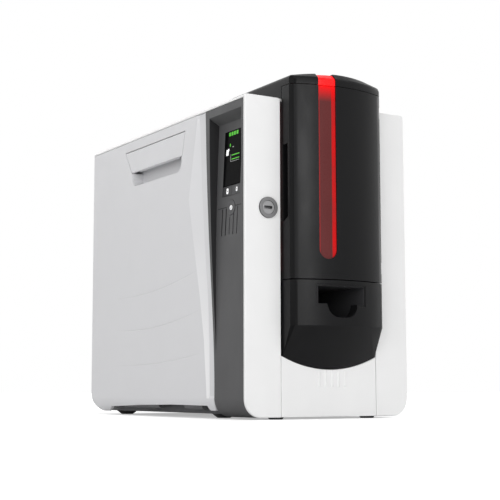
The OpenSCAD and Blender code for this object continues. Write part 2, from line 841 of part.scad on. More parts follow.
module lid() {
    color([0.2, 0.2, 0.21]) seat() difference() {
        union() {
            difference() {
                union() {
                    hull() {
                        along_z(lid_z, lid_z + lid_side) mod_plan(0, lid_rear);
                        along_z(lid_z + lid_edge[0], lid_z + lid_edge[1])
                            mod_plan(0.9, lid_rear - 0.6);
                        along_z(lid_z + lid_edge[2], lid_z + lid_edge[3])
                            mod_plan(lid_round, lid_rear - 2);
                        for (n = [-strips:strips]) {
                            x = n / strips * (mod_x - lid_round - 3);
                            translate([x - 0.05, arch_y(x, 2 * lid_round), crown(x) - 0.2])
                                cube([0.1, lid_rear - 4 - arch_y(x, 2 * lid_round), 0.2]);
                        }
                    }
                    along_z(body_h + 0.4, lid_z + 1) difference() {
                        mod_plan(0, lid_rear);
                        translate([-100, -50]) square([200, 50.4]);
                    }
                }
                along_z(body_h - 1, lid_z + lid_hollow) mod_plan(mod_wall, lid_rear - mod_wall);
                block([-mod_x - 1, hinge_y - 4, body_h - 1],
                      [mod_x + 1, lid_rear + 1, hinge_z - 1]);
            }
            for (s = [-1, 1]) {
                rod_x(s * lid_lug_x - 3.2, s * lid_lug_x + 3.2, hinge_y, hinge_z, lid_lug_r);
                along_x(s * lid_lug_x - 3.2, s * lid_lug_x + 3.2)
                    translate([hinge_y - 3, hinge_z]) square([6, 16]);
            }
        }
        block([-lid_lug_x + 3.3, hinge_y - 4, body_h - 1],
              [lid_lug_x - 3.3, lid_rear + 1, hinge_z + 4]);
        rod_x(-60, 60, hinge_y, hinge_z, lid_pin_r + run);
        // Groove for the red window
        block([win_x - win_w / 2, -mod_out - 1, lid_z - 1],
              [win_x + win_w / 2, lid_win_end, crown_z + 1]);
    }
}

lid_win_end = 60;

module lid_window() {
    color([0.95, 0.1, 0.1]) seat() intersection() {
        hull() {
            along_z(lid_z + 0.1, lid_z + lid_side) mod_plan(win_sunk, lid_rear);
            along_z(lid_z + lid_edge[0], lid_z + lid_edge[1]) mod_plan(win_sunk + 0.9, lid_rear);
            along_z(lid_z + lid_edge[2], lid_z + lid_edge[3] - 0.6)
                mod_plan(win_sunk + lid_round, lid_rear);
            for (n = [-4:4]) {
                x = win_x + n / 4 * win_w / 2;
                translate([x - 0.05, arch_y(x, 2 * lid_round + 1), crown(x) - 1.4])
                    cube([0.1, lid_win_end - arch_y(x, 2 * lid_round + 1), 0.2]);
            }
        }
        difference() {
            block([win_x - win_w / 2 + 0.1, -mod_out - 1, lid_z],
                  [win_x + win_w / 2 - 0.1, lid_win_end - 0.1, crown_z]);
            along_z(lid_z - 1, lid_z + lid_hollow) mod_plan(win_sunk + 2.2, lid_win_end + 10);
        }
    }
}

module lid_hinge_pin() {
    color([0.75, 0.75, 0.77]) seat() rod_x(-mod_x + 2.5, mod_x - 2.5, hinge_y, hinge_z, lid_pin_r);
}

module light_guide() {
    color([0.8, 0.08, 0.08]) seat() {
        block([-mod_x - 1.1, 3.4, door_low + 9.4], [-mod_x, 8, body_h - 5]);
    }
}

// ---- lock ---------------------------------------------------------------------------

barrel_r = 7;

module lock_housing() {
    color([0.6, 0.6, 0.61]) seat() difference() {
        union() {
            rod_y(-1.8, 0, lock_x, lock_z, lock_r + 2);
            rod_y(-eps, 9.4, lock_x, lock_z, lock_r);
        }
        rod_y(-3, 10, lock_x, lock_z, barrel_r + run);
    }
}

module lock_barrel() {
    color([0.55, 0.55, 0.56]) seat() difference() {
        union() {
            rod_y(-1.2, 10, lock_x, lock_z, barrel_r);
            rod_y(9.9, 13.4, lock_x, lock_z, 3);
        }
        block([lock_x - 4.9, -3, lock_z - 1.5], [lock_x + 4.9, 6, lock_z + 1.5]);
    }
}

cam_len = catch_x + 1 - lock_x;

module lock_cam() {
    color([0.65, 0.65, 0.67]) seat() difference() {
        along_y(10, 12.5) {
            translate([lock_x, lock_z]) circle(r = 6);
            translate([lock_x - 4, lock_z - cam_len]) square([8, cam_len]);
        }
        rod_y(9, 14, lock_x, lock_z, 3);
    }
}

// ---- hopper and tray ----------------------------------------------------------------

sill_r = 137;
sill_z = 49.4;
cavity_low = slot_z - 15.5;
// The chin turns back at this share of the height between sill and card cavity
crease_z = sill_z + 0.8617 * (cavity_low - sill_z);
chin_h = crease_z - sill_z;
cavity_back = 71;
slot_x = card_w / 2 + 1.3;
thumb_x = 18.5;
thumb_r = 14;
slot_rim = 2.2;
rim_depth = 0.8;

// Region above the arched sill, in the front view
module sill_disc(g) {
    translate([0, sill_z + sill_r]) circle(r = sill_r + g, $fn = 180);
}

module output_hopper() {
    color([0.21, 0.21, 0.22]) seat() difference() {
        union() {
            hull() {
                along_z(crease_z, hopper_top) mod_plan(0, 0.8);
                along_y(-0.2, 0.8) intersection() {
                    sill_disc(0);
                    translate([-mod_x, 40]) square([mod_w, crease_z - 40]);
                }
            }
            along_y(0.7, 3) intersection() {
                sill_disc(0);
                translate([-mod_x, 40]) square([mod_w, hopper_top - 40]);
            }
            block([card_x - slot_x - 3, 0, cavity_low - 3],
                  [card_x + slot_x + 3, cavity_back + 2, hopper_top - 0.4]);
        }
        // Card cavity, its slot and the thumb notch
        block([card_x - slot_x, -17, cavity_low],
              [card_x + slot_x, cavity_back, slot_z + slot_h]);
        block([card_x - slot_x, -mod_out - 1, slot_z],
              [card_x + slot_x, 0, slot_z + slot_h]);
        translate([0, -40, 0]) along_y(0, 24) thumb_drawing();
        // Shallow rim around the slot
        difference() {
            block([card_x - slot_x - slot_rim, -mod_out - 1, slot_z - slot_rim],
                  [card_x + slot_x + slot_rim, -12, slot_z + slot_h + slot_rim]);
            along_z(cavity_low, hopper_top) mod_plan(rim_depth, 0);
        }
        // Card entry from the print engine
        block([card_x - slot_x, cavity_back - 1, path_z - 27],
              [card_x + slot_x, cavity_back + 3, path_z - 19]);
        // Hollow behind the slanting chin
        along_x(-40, 40) polygon([
            [4, crease_z - 0.5734 * chin_h], [-3, crease_z - 0.5734 * chin_h],
            [-15, crease_z - 0.0688 * chin_h], [-15, crease_z + 1], [4, crease_z + 1]]);
        // Room for the pick roller
        block([card_x - 14, pick_y - 8, hopper_top - 2.2], [card_x + 14, pick_y + 8, hopper_top]);
        // Hollow ends of the upper part
        for (s = [-1, 1]) {
            block([s * 45.5 - 8, -14, cavity_low - 3], [s * 45.5 + 8, 4, hopper_top - 3]);
        }
    }
}

module thumb_drawing() {
    hull() {
        for (s = [-1, 1]) {
            translate([card_x + s * (thumb_x - thumb_r), slot_z]) circle(r = thumb_r, $fn = 72);
        }
    }
}

tray_rail = 39;
tray_z = 7.2;
tray_x = 36;
tray_back = 94;
rib_pitch = 8.2;

module reject_tray() {
    color([0.94, 0.94, 0.94]) seat() difference() {
        union() {
            along_y(0, wall) difference() {
                translate([-bay + 0.5, 0.4]) square([bay_w - 1, 66]);
                sill_disc(0.6);
            }
            block([-tray_x, wall - eps, tray_z], [tray_x, tray_back, 40]);
            for (n = [-2:2]) {
                block([card_x + 6.4 + rib_pitch * n - 1, -0.7, 31],
                      [card_x + 6.4 + rib_pitch * n + 1, eps, 47.5]);
            }
        }
        block([-tray_x + 2, wall + 1, tray_z + 2], [tray_x - 2, tray_back - 2, 41]);
    }
}

mag_front = -16;
mag_back = mag_front + card_l + 2;
mag_top = body_h - 9;
brace_z = mag_top - 22;
mag_wall = 2;

module card_magazine() {
    x0 = card_x - card_w / 2 - 1;
    x1 = card_x + card_w / 2 + 1;
    color([0.16, 0.16, 0.17]) seat() difference() {
        union() {
            block([x0 - mag_wall, mag_front - mag_wall, hopper_top + 5.4],
                  [x1 + mag_wall, mag_back + mag_wall, mag_top]);
            block([-mod_x + mod_wall, 20, brace_z], [x0 - mag_wall + 1, 26, brace_z + 10]);
            block([x1 + mag_wall - 1, 20, brace_z], [mod_x - mod_wall, 26, brace_z + 10]);
            block([x0 - 2, 20, hopper_top - 0.4], [x0 + 4, 30, hopper_top + 6]);
            block([x1 - 4, 20, hopper_top - 0.4], [x1 + 2, 30, hopper_top + 6]);
        }
        block([x0, mag_front, path_z - 0.5], [x1, mag_back, mag_top + 1]);
        // Front left open between two lips
        block([x0 + 8, mag_front - mag_wall - 1, path_z - 0.5], [x1 - 8, mag_front + 1, mag_top + 1]);
        // Gate for one card at a time
        block([x0, mag_back - 1, path_z - 0.5], [x1, mag_back + mag_wall + 1, path_z + 0.6]);
        // Room for the pick roller
        block([x0 + 10, pick_y - 10, hopper_top], [x1 - 10, pick_y + 10, path_z]);
        block([x0 - 3, pick_y - 4, hopper_top], [x1 + 3, pick_y + 4, pick_z + shaft_r + 0.8]);
    }
}

weight_z = path_z + 0.3;

module card_weight() {
    color([0.6, 0.6, 0.62]) seat() difference() {
        union() {
            block([card_x - card_w / 2 + 1, mag_front + 6, weight_z],
                  [card_x + card_w / 2 - 1, mag_back - 6, weight_z + 5]);
            block([card_x - 12, mag_front + 6, weight_z + 4.9],
                  [card_x + 12, mag_front + 9, weight_z + 22]);
        }
        block([card_x - 20, mag_front + 20, weight_z + 2], [card_x + 20, mag_back - 14, weight_z + 6]);
    }
}

pick_y = 40;
pick_r = 6.4;
pick_z = path_z - pick_r - 0.2;

module pick_roller() {
    color([0.25, 0.25, 0.26]) seat() {
        rod_x(-mod_x + 0.2, mod_x + 1.5, pick_y, pick_z, shaft_r);
        for (s = [-1, 1]) rod_x(card_x + 8 * s - 4, card_x + 8 * s + 4, pick_y, pick_z, pick_r);
    }
}

// ---- print engine -------------------------------------------------------------------

plate_x = 62;
plate_top = body_h - 15;
bulk_y = 108;
frame_low = path_z - 53;
bulk_x = base_x - base_wall - 0.2;
shaft_end = plate_x + plate_t + 0.6;
far_x = 44;
support_x = -38;
shaft_x0 = support_x - 4;
face_x0 = card_x - card_w / 2 - 2;
face_x1 = card_x + card_w / 2 + 2;
low_z = path_z - roller_r - 0.4;
front_y = bulk_y + 22;
// Whole even count of teeth between the two transport rollers
span_teeth = 2 * floor((panel_y - 116 - front_y) / gear_m / 2);
rear_y = front_y + gear_m * span_teeth;
heat_y = (front_y + rear_y) / 2;
heat_r = 13;
heat_z = path_z + heat_r + 0.5;
clean_y = (front_y + heat_y) / 2 - 6;
clean_r = 8;
platen_y = heat_y;
platen_z = plate_top - 76;
platen_r = 13;
spool_x0 = -half_w + 21;
spool_x1 = 52;
spool_spots = [[platen_y - 40, plate_top - 41], [platen_y - 40, plate_top - 104],
               [platen_y + 72, plate_top - 36], [platen_y + 72, plate_top - 104]];

// Vertical steel plate that carries the spools, rollers and gears
module chassis_plate() {
    color([0.7, 0.71, 0.72]) seat() difference() {
        union() {
            block([plate_x, bulk_y, base_z + base_wall], [plate_x + plate_t, panel_y - wall, plate_top]);
            block([plate_x, bulk_y, base_z + base_wall],
                  [base_x - base_wall, panel_y - wall - 20, base_z + base_wall + plate_t]);
            block([plate_x, panel_y - wall - plate_t, 24],
                  [plate_x + 9, panel_y - wall, plate_top]);
        }
        for (p = spool_spots) {
            rod_x(plate_x - 1, plate_x + 4, p[0], p[1], shaft_r + run);
        }
        for (y = [front_y, rear_y]) {
            rod_x(plate_x - 1, plate_x + 4, y, low_z, shaft_r + run);
        }
        rod_x(plate_x - 1, plate_x + 4, clean_y, path_z + clean_r + 0.4, shaft_r + run);
        rod_x(plate_x - 1, plate_x + 4, heat_y, heat_z, shaft_r + run);
        rod_x(plate_x - 1, plate_x + 4, platen_y, platen_z, shaft_r + run);
        rod_x(plate_x - 1, plate_x + 4, flip_y, path_z, flip_shaft_r + run);
        rod_x(plate_x - 1, plate_x + 4, head_y, head_z, shaft_r + run);
        rod_x(plate_x - 1, plate_x + 4, motor_y, motor_z, 5);
    }
}

// Cross wall between the feeder and the print engine
module bulkhead() {
    color([0.68, 0.69, 0.7]) seat() difference() {
        union() {
            block([-bulk_x, bulk_y - plate_t, base_z + base_wall], [bulk_x, bulk_y, plate_top]);
            block([-bulk_x, bulk_y - 8, plate_top - plate_t], [bulk_x, bulk_y, plate_top]);
        }
        block([face_x0 - 4, bulk_y - 3, path_z - 5], [face_x1 + 4, bulk_y + 1, path_z + 5]);
        block([face_x0 - 4, bulk_y - 3, path_z - 31], [face_x1 + 4, bulk_y + 1, path_z - 15]);
        block([-40, bulk_y - 3, 20], [40, bulk_y + 1, 60]);
        block([-bulk_x + 7.3, bulk_y - 3, plate_top - 96],
              [-bulk_x + 27.3, bulk_y + 1, plate_top - 16]);
    }
}

// Frame round the card path: bearings for the rollers and guides for the card
module roller_frame() {
    color([0.24, 0.24, 0.26]) seat() difference() {
        union() {
            for (x = [support_x, far_x]) {
                block([x, bulk_y, frame_low], [x + 3, flip_y + 28, path_z + 28]);
            }
            block([support_x, bulk_y, frame_low], [plate_x, flip_y + 28, frame_low + 3]);
            for (y = [bulk_y, flip_y + 18]) {
                block([support_x, y, frame_low + 1], [plate_x, y + 3, frame_low + 20]);
            }
            block([support_x + 1, bulk_y + 8, path_z - 3], [face_x0 + 6, flip_y - 30, path_z - 1]);
            block([face_x1 - 6, bulk_y + 8, path_z - 3], [far_x + 1, flip_y - 30, path_z - 1]);
        }
        for (y = [front_y, rear_y]) {
            rod_x(support_x - 1, far_x + 4, y, low_z, shaft_r + run);
            rod_x(face_x0 - 0.5, face_x1 + 0.5, y, low_z, roller_r + 0.8);
        }
        rod_x(support_x - 1, far_x + 4, clean_y, path_z + clean_r + 0.4, shaft_r + run);
        rod_x(support_x - 1, far_x + 4, heat_y, heat_z, shaft_r + run);
        rod_x(support_x - 1, far_x + 4, flip_y, path_z, flip_shaft_r + run);
        // Room for the motor
        block([plate_x - 25, motor_y - 22, frame_low - 1],
              [plate_x + 1, motor_y + 22, motor_z + 22]);
    }
}

// Roller with its shaft, which runs to end
module roller(y, z, r, x0, x1, end) {
    rod_x(x0, x1, y, z, r);
    rod_x(shaft_x0, end, y, z, shaft_r);
}

// Spur gear on an axis along X, with straight-sided teeth
module gear_x(x0, x1, y, z, teeth, phase) {
    pitch_r = gear_m * teeth / 2;
    tooth = 360 / teeth;
    translate([x0, y, z]) rotate([90, 0, 90]) linear_extrude(x1 - x0) {
        polygon([for (n = [0:teeth - 1], k = [0:3])
            let (a = phase + tooth * (n + [-0.32, -0.15, 0.15, 0.32][k]),
                 r = pitch_r + [-1.15, 0.85, 0.85, -1.15][k] * gear_m)
            [r * cos(a), r * sin(a)]]);
    }
}

gear_x0 = plate_x + plate_t + 2;
gear_w = 6;
gear_x1 = gear_x0 + gear_w;
idler_teeth = span_teeth - roller_teeth;
idler_y = (front_y + rear_y) / 2;
// Ring of holes in the idler's web
web_r = gear_m * idler_teeth / 4 - 0.4;
pinion_teeth = 14;
motor_y = idler_y;
motor_z = low_z - gear_m * (idler_teeth + pinion_teeth) / 2;

module front_roller() {
    color([0.3, 0.3, 0.31]) seat() {
        roller(front_y, low_z, roller_r, face_x0, face_x1, gear_x1);
        gear_x(gear_x0, gear_x1, front_y, low_z, roller_teeth, 180 / roller_teeth);
    }
}

module rear_roller() {
    color([0.3, 0.3, 0.31]) seat() {
        roller(rear_y, low_z, roller_r, face_x0, face_x1, gear_x1);
        gear_x(gear_x0, gear_x1, rear_y, low_z, roller_teeth, 180 / roller_teeth);
    }
}

module cleaning_roller() {
    color([0.35, 0.45, 0.6]) seat()
        roller(clean_y, path_z + clean_r + 0.4, clean_r, face_x0, face_x1, shaft_end);
}

module heat_roller() {
    color([0.72, 0.72, 0.74]) seat() roller(heat_y, heat_z, heat_r, face_x0, face_x1, shaft_end);
}

module platen_roller() {
    color([0.15, 0.15, 0.16]) seat() {
        rod_x(-34, plate_x - 6, platen_y, platen_z, platen_r);
        rod_x(-36, shaft_end, platen_y, platen_z, shaft_r);
    }
}

head_y = platen_y + 22;
head_z = plate_top - 31;

// Thermal head on a swinging arm over the platen
module print_head() {
    color([0.45, 0.46, 0.48]) seat() difference() {
        union() {
            rod_x(-34, shaft_end, head_y, head_z, shaft_r);
            rod_x(-32, plate_x - 4, head_y, head_z, 6);
            along_x(-32, plate_x - 4) polygon([[head_y - 4, head_z + 5], [head_y + 4, head_z - 4],
                [platen_y + 8, platen_z + platen_r + 2], [platen_y - 12, platen_z + platen_r + 2],
                [platen_y - 12, platen_z + platen_r + 10], [platen_y + 2, platen_z + platen_r + 14]]);
            along_x(-30, plate_x - 6) translate([platen_y - 1.5, platen_z + platen_r + 0.5])
                square([3, 3]);
        }
        block([-26, head_y - 22, platen_z + 28], [plate_x - 10, head_y - 14, platen_z + 40]);
    }
}

core_r = 12;
flange_r = 25;

// Spool with a wound web; r is the outside of the winding
module spool(spot, r, tone, web) {
    seat() {
        color(tone) {
            rod_x(spool_x0, spool_x1, spot[0], spot[1], core_r);
            rod_x(spool_x0 + 12, spool_x0 + 14, spot[0], spot[1], flange_r);
            rod_x(spool_x1 - 12, spool_x1 - 10, spot[0], spot[1], flange_r);
            rod_x(spool_x1 - eps, shaft_end, spot[0], spot[1], shaft_r);
        }
        color(web) rod_x(spool_x0 + 20, spool_x1 - 18, spot[0], spot[1], r);
    }
}

module ribbon_supply() { spool(spool_spots[0], 22, [0.85, 0.85, 0.85], [0.75, 0.65, 0.1]); }
module ribbon_takeup() { spool(spool_spots[1], 15, [0.85, 0.85, 0.85], [0.2, 0.2, 0.25]); }
module film_supply() { spool(spool_spots[2], 23, [0.3, 0.5, 0.7], [0.6, 0.65, 0.7]); }
module film_takeup() { spool(spool_spots[3], 16, [0.3, 0.5, 0.7], [0.5, 0.5, 0.55]); }

flip_y = panel_y - 64;
flip_shaft_r = 4;
flip_h = 12;

// Turning cradle that flips a card over at the end of the path
module flip_unit() {
    color([0.2, 0.22, 0.25]) seat() difference() {
        union() {
            rod_x(shaft_x0, face_x0, flip_y, path_z, flip_shaft_r);
            rod_x(face_x1, shaft_end, flip_y, path_z, flip_shaft_r);
            block([face_x0 - 2, flip_y - 20, path_z - flip_h], [face_x1 + 2, flip_y + 20, path_z + flip_h]);
        }
        block([face_x0 + 1, flip_y - 21, path_z - 1.2], [face_x1 - 1, flip_y + 21, path_z + 1.2]);
        block([face_x0 + 4, flip_y - 14, path_z - flip_h - 1],
              [face_x1 - 4, flip_y + 14, path_z - 3]);
        block([face_x0 + 4, flip_y - 14, path_z + 3],
              [face_x1 - 4, flip_y + 14, path_z + flip_h + 1]);
    }
}

module drive_motor() {
    color([0.25, 0.25, 0.27]) seat() difference() {
        union() {
            block([plate_x - 24, motor_y - 21, motor_z - 21], [plate_x - 2, motor_y + 21, motor_z + 21]);
            rod_x(plate_x - 2.1, plate_x, motor_y, motor_z, 11);
        }
        rod_x(plate_x - 10, plate_x + 1, motor_y, motor_z, 2.5 + run);
    }
}

module motor_pinion() {
    color([0.8, 0.7, 0.4]) seat() {
        gear_x(gear_x0, gear_x1, motor_y, motor_z, pinion_teeth, 90);
        rod_x(plate_x - 9.8, gear_x0 + eps, motor_y, motor_z, 2.5);
    }
}

// Large idler between the two roller gears, on a stub of its own
module idler_gear() {
    color([0.9, 0.9, 0.88]) seat() difference() {
        gear_x(gear_x0, gear_x1, idler_y, low_z, idler_teeth, 0);
        rod_x(gear_x0 - 1, gear_x1 + 1, idler_y, low_z, 4 + run);
        for (a = [0:60:300]) {
            rod_x(gear_x0 - 1, gear_x1 + 1, idler_y + web_r * cos(a + 30),
                  low_z + web_r * sin(a + 30), 0.29 * web_r);
        }
    }
}

board_y0 = bulk_y + 42;
board_y1 = panel_y - 16;
board_z0 = plate_top - 111;
board_h = 95;
board_x0 = half_w - wall - 16;
board_t = 1.6;

module main_board() {
    color([0.08, 0.35, 0.2]) seat() {
        block([board_x0, board_y0, board_z0], [board_x0 + board_t, board_y1, board_z0 + board_h]);
        for (y = [board_y0 + 8, board_y1 - 10], z = [board_z0 + 5, board_z0 + board_h - 7]) {
            rod_x(plate_x + plate_t, board_x0 + 0.1, y, z, 2.5);
        }
        translate([board_x0 + board_t - 0.1, board_y0, board_z0]) {
            block([0, 50, 25], [3.5, 80, 55]);
            block([0, 100, 20], [9.5, 112, 65]);
            block([0, board_y1 - board_y0 - 50, 10], [6.5, board_y1 - board_y0 - 20, 30]);
        }
    }
}

module power_supply() {
    color([0.75, 0.76, 0.77]) seat() difference() {
        block([-34, psu_y0, base_z + base_wall], [psu_x1, psu_y1, psu_top]);
        for (n = [0:floor((psu_y1 - psu_y0 - 25) / psu_pitch)]) {
            block([-24, psu_y0 + 11 + psu_pitch * n, psu_top - 1.5],
                  [psu_x1 - 10, psu_y0 + 15 + psu_pitch * n, psu_top + 1]);
        }
    }
}

psu_x1 = 46;
psu_y0 = motor_y + 25;
psu_y1 = panel_y - wall - 23;
psu_top = frame_low - 28;
psu_pitch = 12;
fan_y = panel_y - wall;

module fan_housing() {
    color([0.1, 0.1, 0.11]) seat() difference() {
        block([fan_x - fan_s / 2, fan_y - 15, fan_z - fan_s / 2],
              [fan_x + fan_s / 2, fan_y, fan_z + fan_s / 2]);
        rod_y(fan_y - 16, fan_y - 3, fan_x, fan_z, 28);
        difference() {
            rod_y(fan_y - 4, fan_y + 1, fan_x, fan_z, 28);
            rod_y(fan_y - 3.1, fan_y + 2, fan_x, fan_z, 10);
            for (a = [45, 135]) {
                translate([fan_x, fan_y - 1.6, fan_z]) rotate([0, a, 0]) cube([70, 3, 3], center = true);
            }
        }
        rod_y(fan_y - 16, fan_y - 1, fan_x, fan_z, 2 + run);
    }
}

module fan_rotor() {
    color([0.15, 0.15, 0.16]) seat() {
        rod_y(fan_y - 14.5, fan_y - 4, fan_x, fan_z, 11);
        rod_y(fan_y - 5, fan_y - 1.2, fan_x, fan_z, 2);
        for (a = [0:40:320]) {
            translate([fan_x, fan_y - 9.2, fan_z]) rotate([0, a, 0]) translate([18, 0, 0])
                rotate([35, 0, 0]) cube([15, 10, 1.6], center = true);
        }
    }
}

// Mains inlet with its three pins
module power_inlet() {
    color([0.05, 0.05, 0.05]) seat() {
        difference() {
            union() {
                block([inlet_x - inlet_w / 2 + 0.2, panel_y - 16, inlet_z - inlet_h / 2 + 0.2],
                      [inlet_x + inlet_w / 2 - 0.2, panel_y + 1.5, inlet_z + inlet_h / 2 - 0.2]);
                block([inlet_x - inlet_w / 2 - 3, panel_y, inlet_z - inlet_h / 2 - 2],
                      [inlet_x + inlet_w / 2 + 3, panel_y + 1.5, inlet_z + inlet_h / 2 + 2]);
            }
            along_y(panel_y - 13, panel_y + 2) polygon([
                [inlet_x - 11.5, inlet_z - 7.5], [inlet_x + 11.5, inlet_z - 7.5],
                [inlet_x + 11.5, inlet_z + 3.5], [inlet_x + 7.5, inlet_z + 7.5],
                [inlet_x - 7.5, inlet_z + 7.5], [inlet_x - 11.5, inlet_z + 3.5]]);
        }
        for (p = [[-7, -1.8], [7, -1.8], [0, 2.2]]) {
            block([inlet_x + p[0] - 1, panel_y - 13.1, inlet_z + p[1] - 2],
                  [inlet_x + p[0] + 1, panel_y - 1, inlet_z + p[1] + 2]);
        }
    }
}

rocker_y = panel_y - 4;
rocker_tilt = 8;
rocker_pin_r = 1.2;

// Rocker in its off position
module power_switch() {
    color([0.06, 0.06, 0.06]) seat() difference() {
        along_x(switch_x - 5.5, switch_x + 5.5)
            translate([rocker_y, inlet_z]) rotate(rocker_tilt) polygon([
                [-3, -3], [-3, 3], [5.6, 8.6], [4.4, 0], [5.6, -8.6]]);
        rod_x(switch_x - 7, switch_x + 7, rocker_y, inlet_z, rocker_pin_r + run);
    }
}

module switch_housing() {
    color([0.05, 0.05, 0.05]) seat() {
        difference() {
            block([switch_x - 6.9, panel_y - 16, inlet_z - 10.1],
                  [switch_x + 6.9, panel_y + 1, inlet_z + 10.1]);
            block([switch_x - 5.8, panel_y - 10, inlet_z - 9.3],
                  [switch_x + 5.8, panel_y + 2, inlet_z + 9.3]);
        }
        rod_x(switch_x - 6, switch_x + 6, rocker_y, inlet_z, rocker_pin_r);
    }
}

module data_ports() {
    color([0.6, 0.6, 0.62]) seat() {
        difference() {
            block([port_x - 8.8, panel_y - 17, port_z - 7.8],
                  [port_x + 8.8, panel_y + 0.6, port_z + 7.8]);
            block([port_x - 6.5, panel_y - 15, port_z - 5.5],
                  [port_x + 6.5, panel_y + 1, port_z + 4.5]);
        }
        difference() {
            block([port_x - 6.8, panel_y - 17, port_z + 19.2],
                  [port_x + 6.8, panel_y + 0.6, port_z + 31.8]);
            block([port_x - 4.5, panel_y - 15, port_z + 21.2],
                  [port_x + 4.5, panel_y + 1, port_z + 29.8]);
        }
    }
}

base_pan();
feet();
casing();
front_frame();
rear_panel();
cover_screws();
side_door();
door_hinge_pins();
door_handle();
handle_pin();
door_catch();
control_fascia();
display_glass();
display_panel();
menu_key_left();
menu_key_right();
power_button();
control_board();
feeder_frame();
feeder_door();
feeder_window();
door_keeper();
door_pivot_pins();
lid();
lid_window();
lid_hinge_pin();
light_guide();
lock_housing();
lock_barrel();
lock_cam();
output_hopper();
reject_tray();
card_magazine();
card_weight();
pick_roller();
chassis_plate();
bulkhead();
front_roller();
rear_roller();
cleaning_roller();
heat_roller();
platen_roller();
print_head();
ribbon_supply();
ribbon_takeup();
film_supply();
film_takeup();
flip_unit();
drive_motor();
motor_pinion();
idler_gear();
main_board();
power_supply();
fan_housing();
fan_rotor();
power_inlet();
power_switch();
switch_housing();
data_ports();
roller_frame();
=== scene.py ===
"""Looks of an upright desktop ID card printer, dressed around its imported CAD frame."""

import logging
import math
from dataclasses import dataclass
from enum import Enum
from typing import Callable, Dict, List, Optional, Tuple

import bmesh
import bpy
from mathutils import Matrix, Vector


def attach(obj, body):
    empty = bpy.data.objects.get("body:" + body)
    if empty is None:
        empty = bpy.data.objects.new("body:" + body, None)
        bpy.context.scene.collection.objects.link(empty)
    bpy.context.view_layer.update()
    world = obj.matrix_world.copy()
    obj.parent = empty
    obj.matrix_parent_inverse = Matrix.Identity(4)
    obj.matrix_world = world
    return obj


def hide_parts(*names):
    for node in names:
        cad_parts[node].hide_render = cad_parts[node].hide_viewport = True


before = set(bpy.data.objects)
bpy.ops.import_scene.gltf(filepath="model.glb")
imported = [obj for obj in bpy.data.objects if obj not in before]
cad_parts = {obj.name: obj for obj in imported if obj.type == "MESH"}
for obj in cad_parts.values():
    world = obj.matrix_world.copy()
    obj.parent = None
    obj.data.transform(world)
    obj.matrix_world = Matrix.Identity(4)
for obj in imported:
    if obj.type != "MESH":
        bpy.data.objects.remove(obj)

Colour = Tuple[float, float, float]
Point = Tuple[float, float, float]
Span = Tuple[float, float]
Choice = Callable[[Vector, Vector], bool]
Socket = bpy.types.NodeSocket

LOG = logging.getLogger("card_printer")
MM = 0.001
WHITE = (1.0, 1.0, 1.0, 1.0)

SIDE = -103.0 * MM  # X of the printer's left side
FRONT = -172.75 * MM  # Y of the front plate, from which depths on the left side are given
ON_SKIN = 0.02 * MM  # points this near the plane of a skin belong to it
ONE_POINT = 0.000004  # points nearer than this are merged, in metres
ONE_FACE = math.radians(0.6)  # neighbours that are flatter than this are joined

CLOUD = 45 * MM  # width of the slow changes of tone in a large moulding
SMEAR = 18 * MM  # width of its changes of gloss


class Op(Enum):
    """The arithmetic operations that the finishes use."""

    ADD = "ADD"
    SUBTRACT = "SUBTRACT"
    MULTIPLY = "MULTIPLY"
    MAXIMUM = "MAXIMUM"
    ABSOLUTE = "ABSOLUTE"


def srgb(red: float, green: float, blue: float) -> Colour:
    """Gives the linear colour of an 8 bit screen colour.

    Args:
        red: Red from 0 to 255.
        green: Green from 0 to 255.
        blue: Blue from 0 to 255.

    Returns:
        The three linear values.
    """

    def one(value: float) -> float:
        """Turns one channel to its linear value."""
        share = value / 255.0
        return share / 12.92 if share <= 0.04045 else ((share + 0.055) / 1.055) ** 2.4

    return one(red), one(green), one(blue)


def clamp(value: float) -> float:
    """Keeps a value between 0 and 1."""
    return min(max(value, 0.0), 1.0)


# ---------------------------------------------------------------- materials


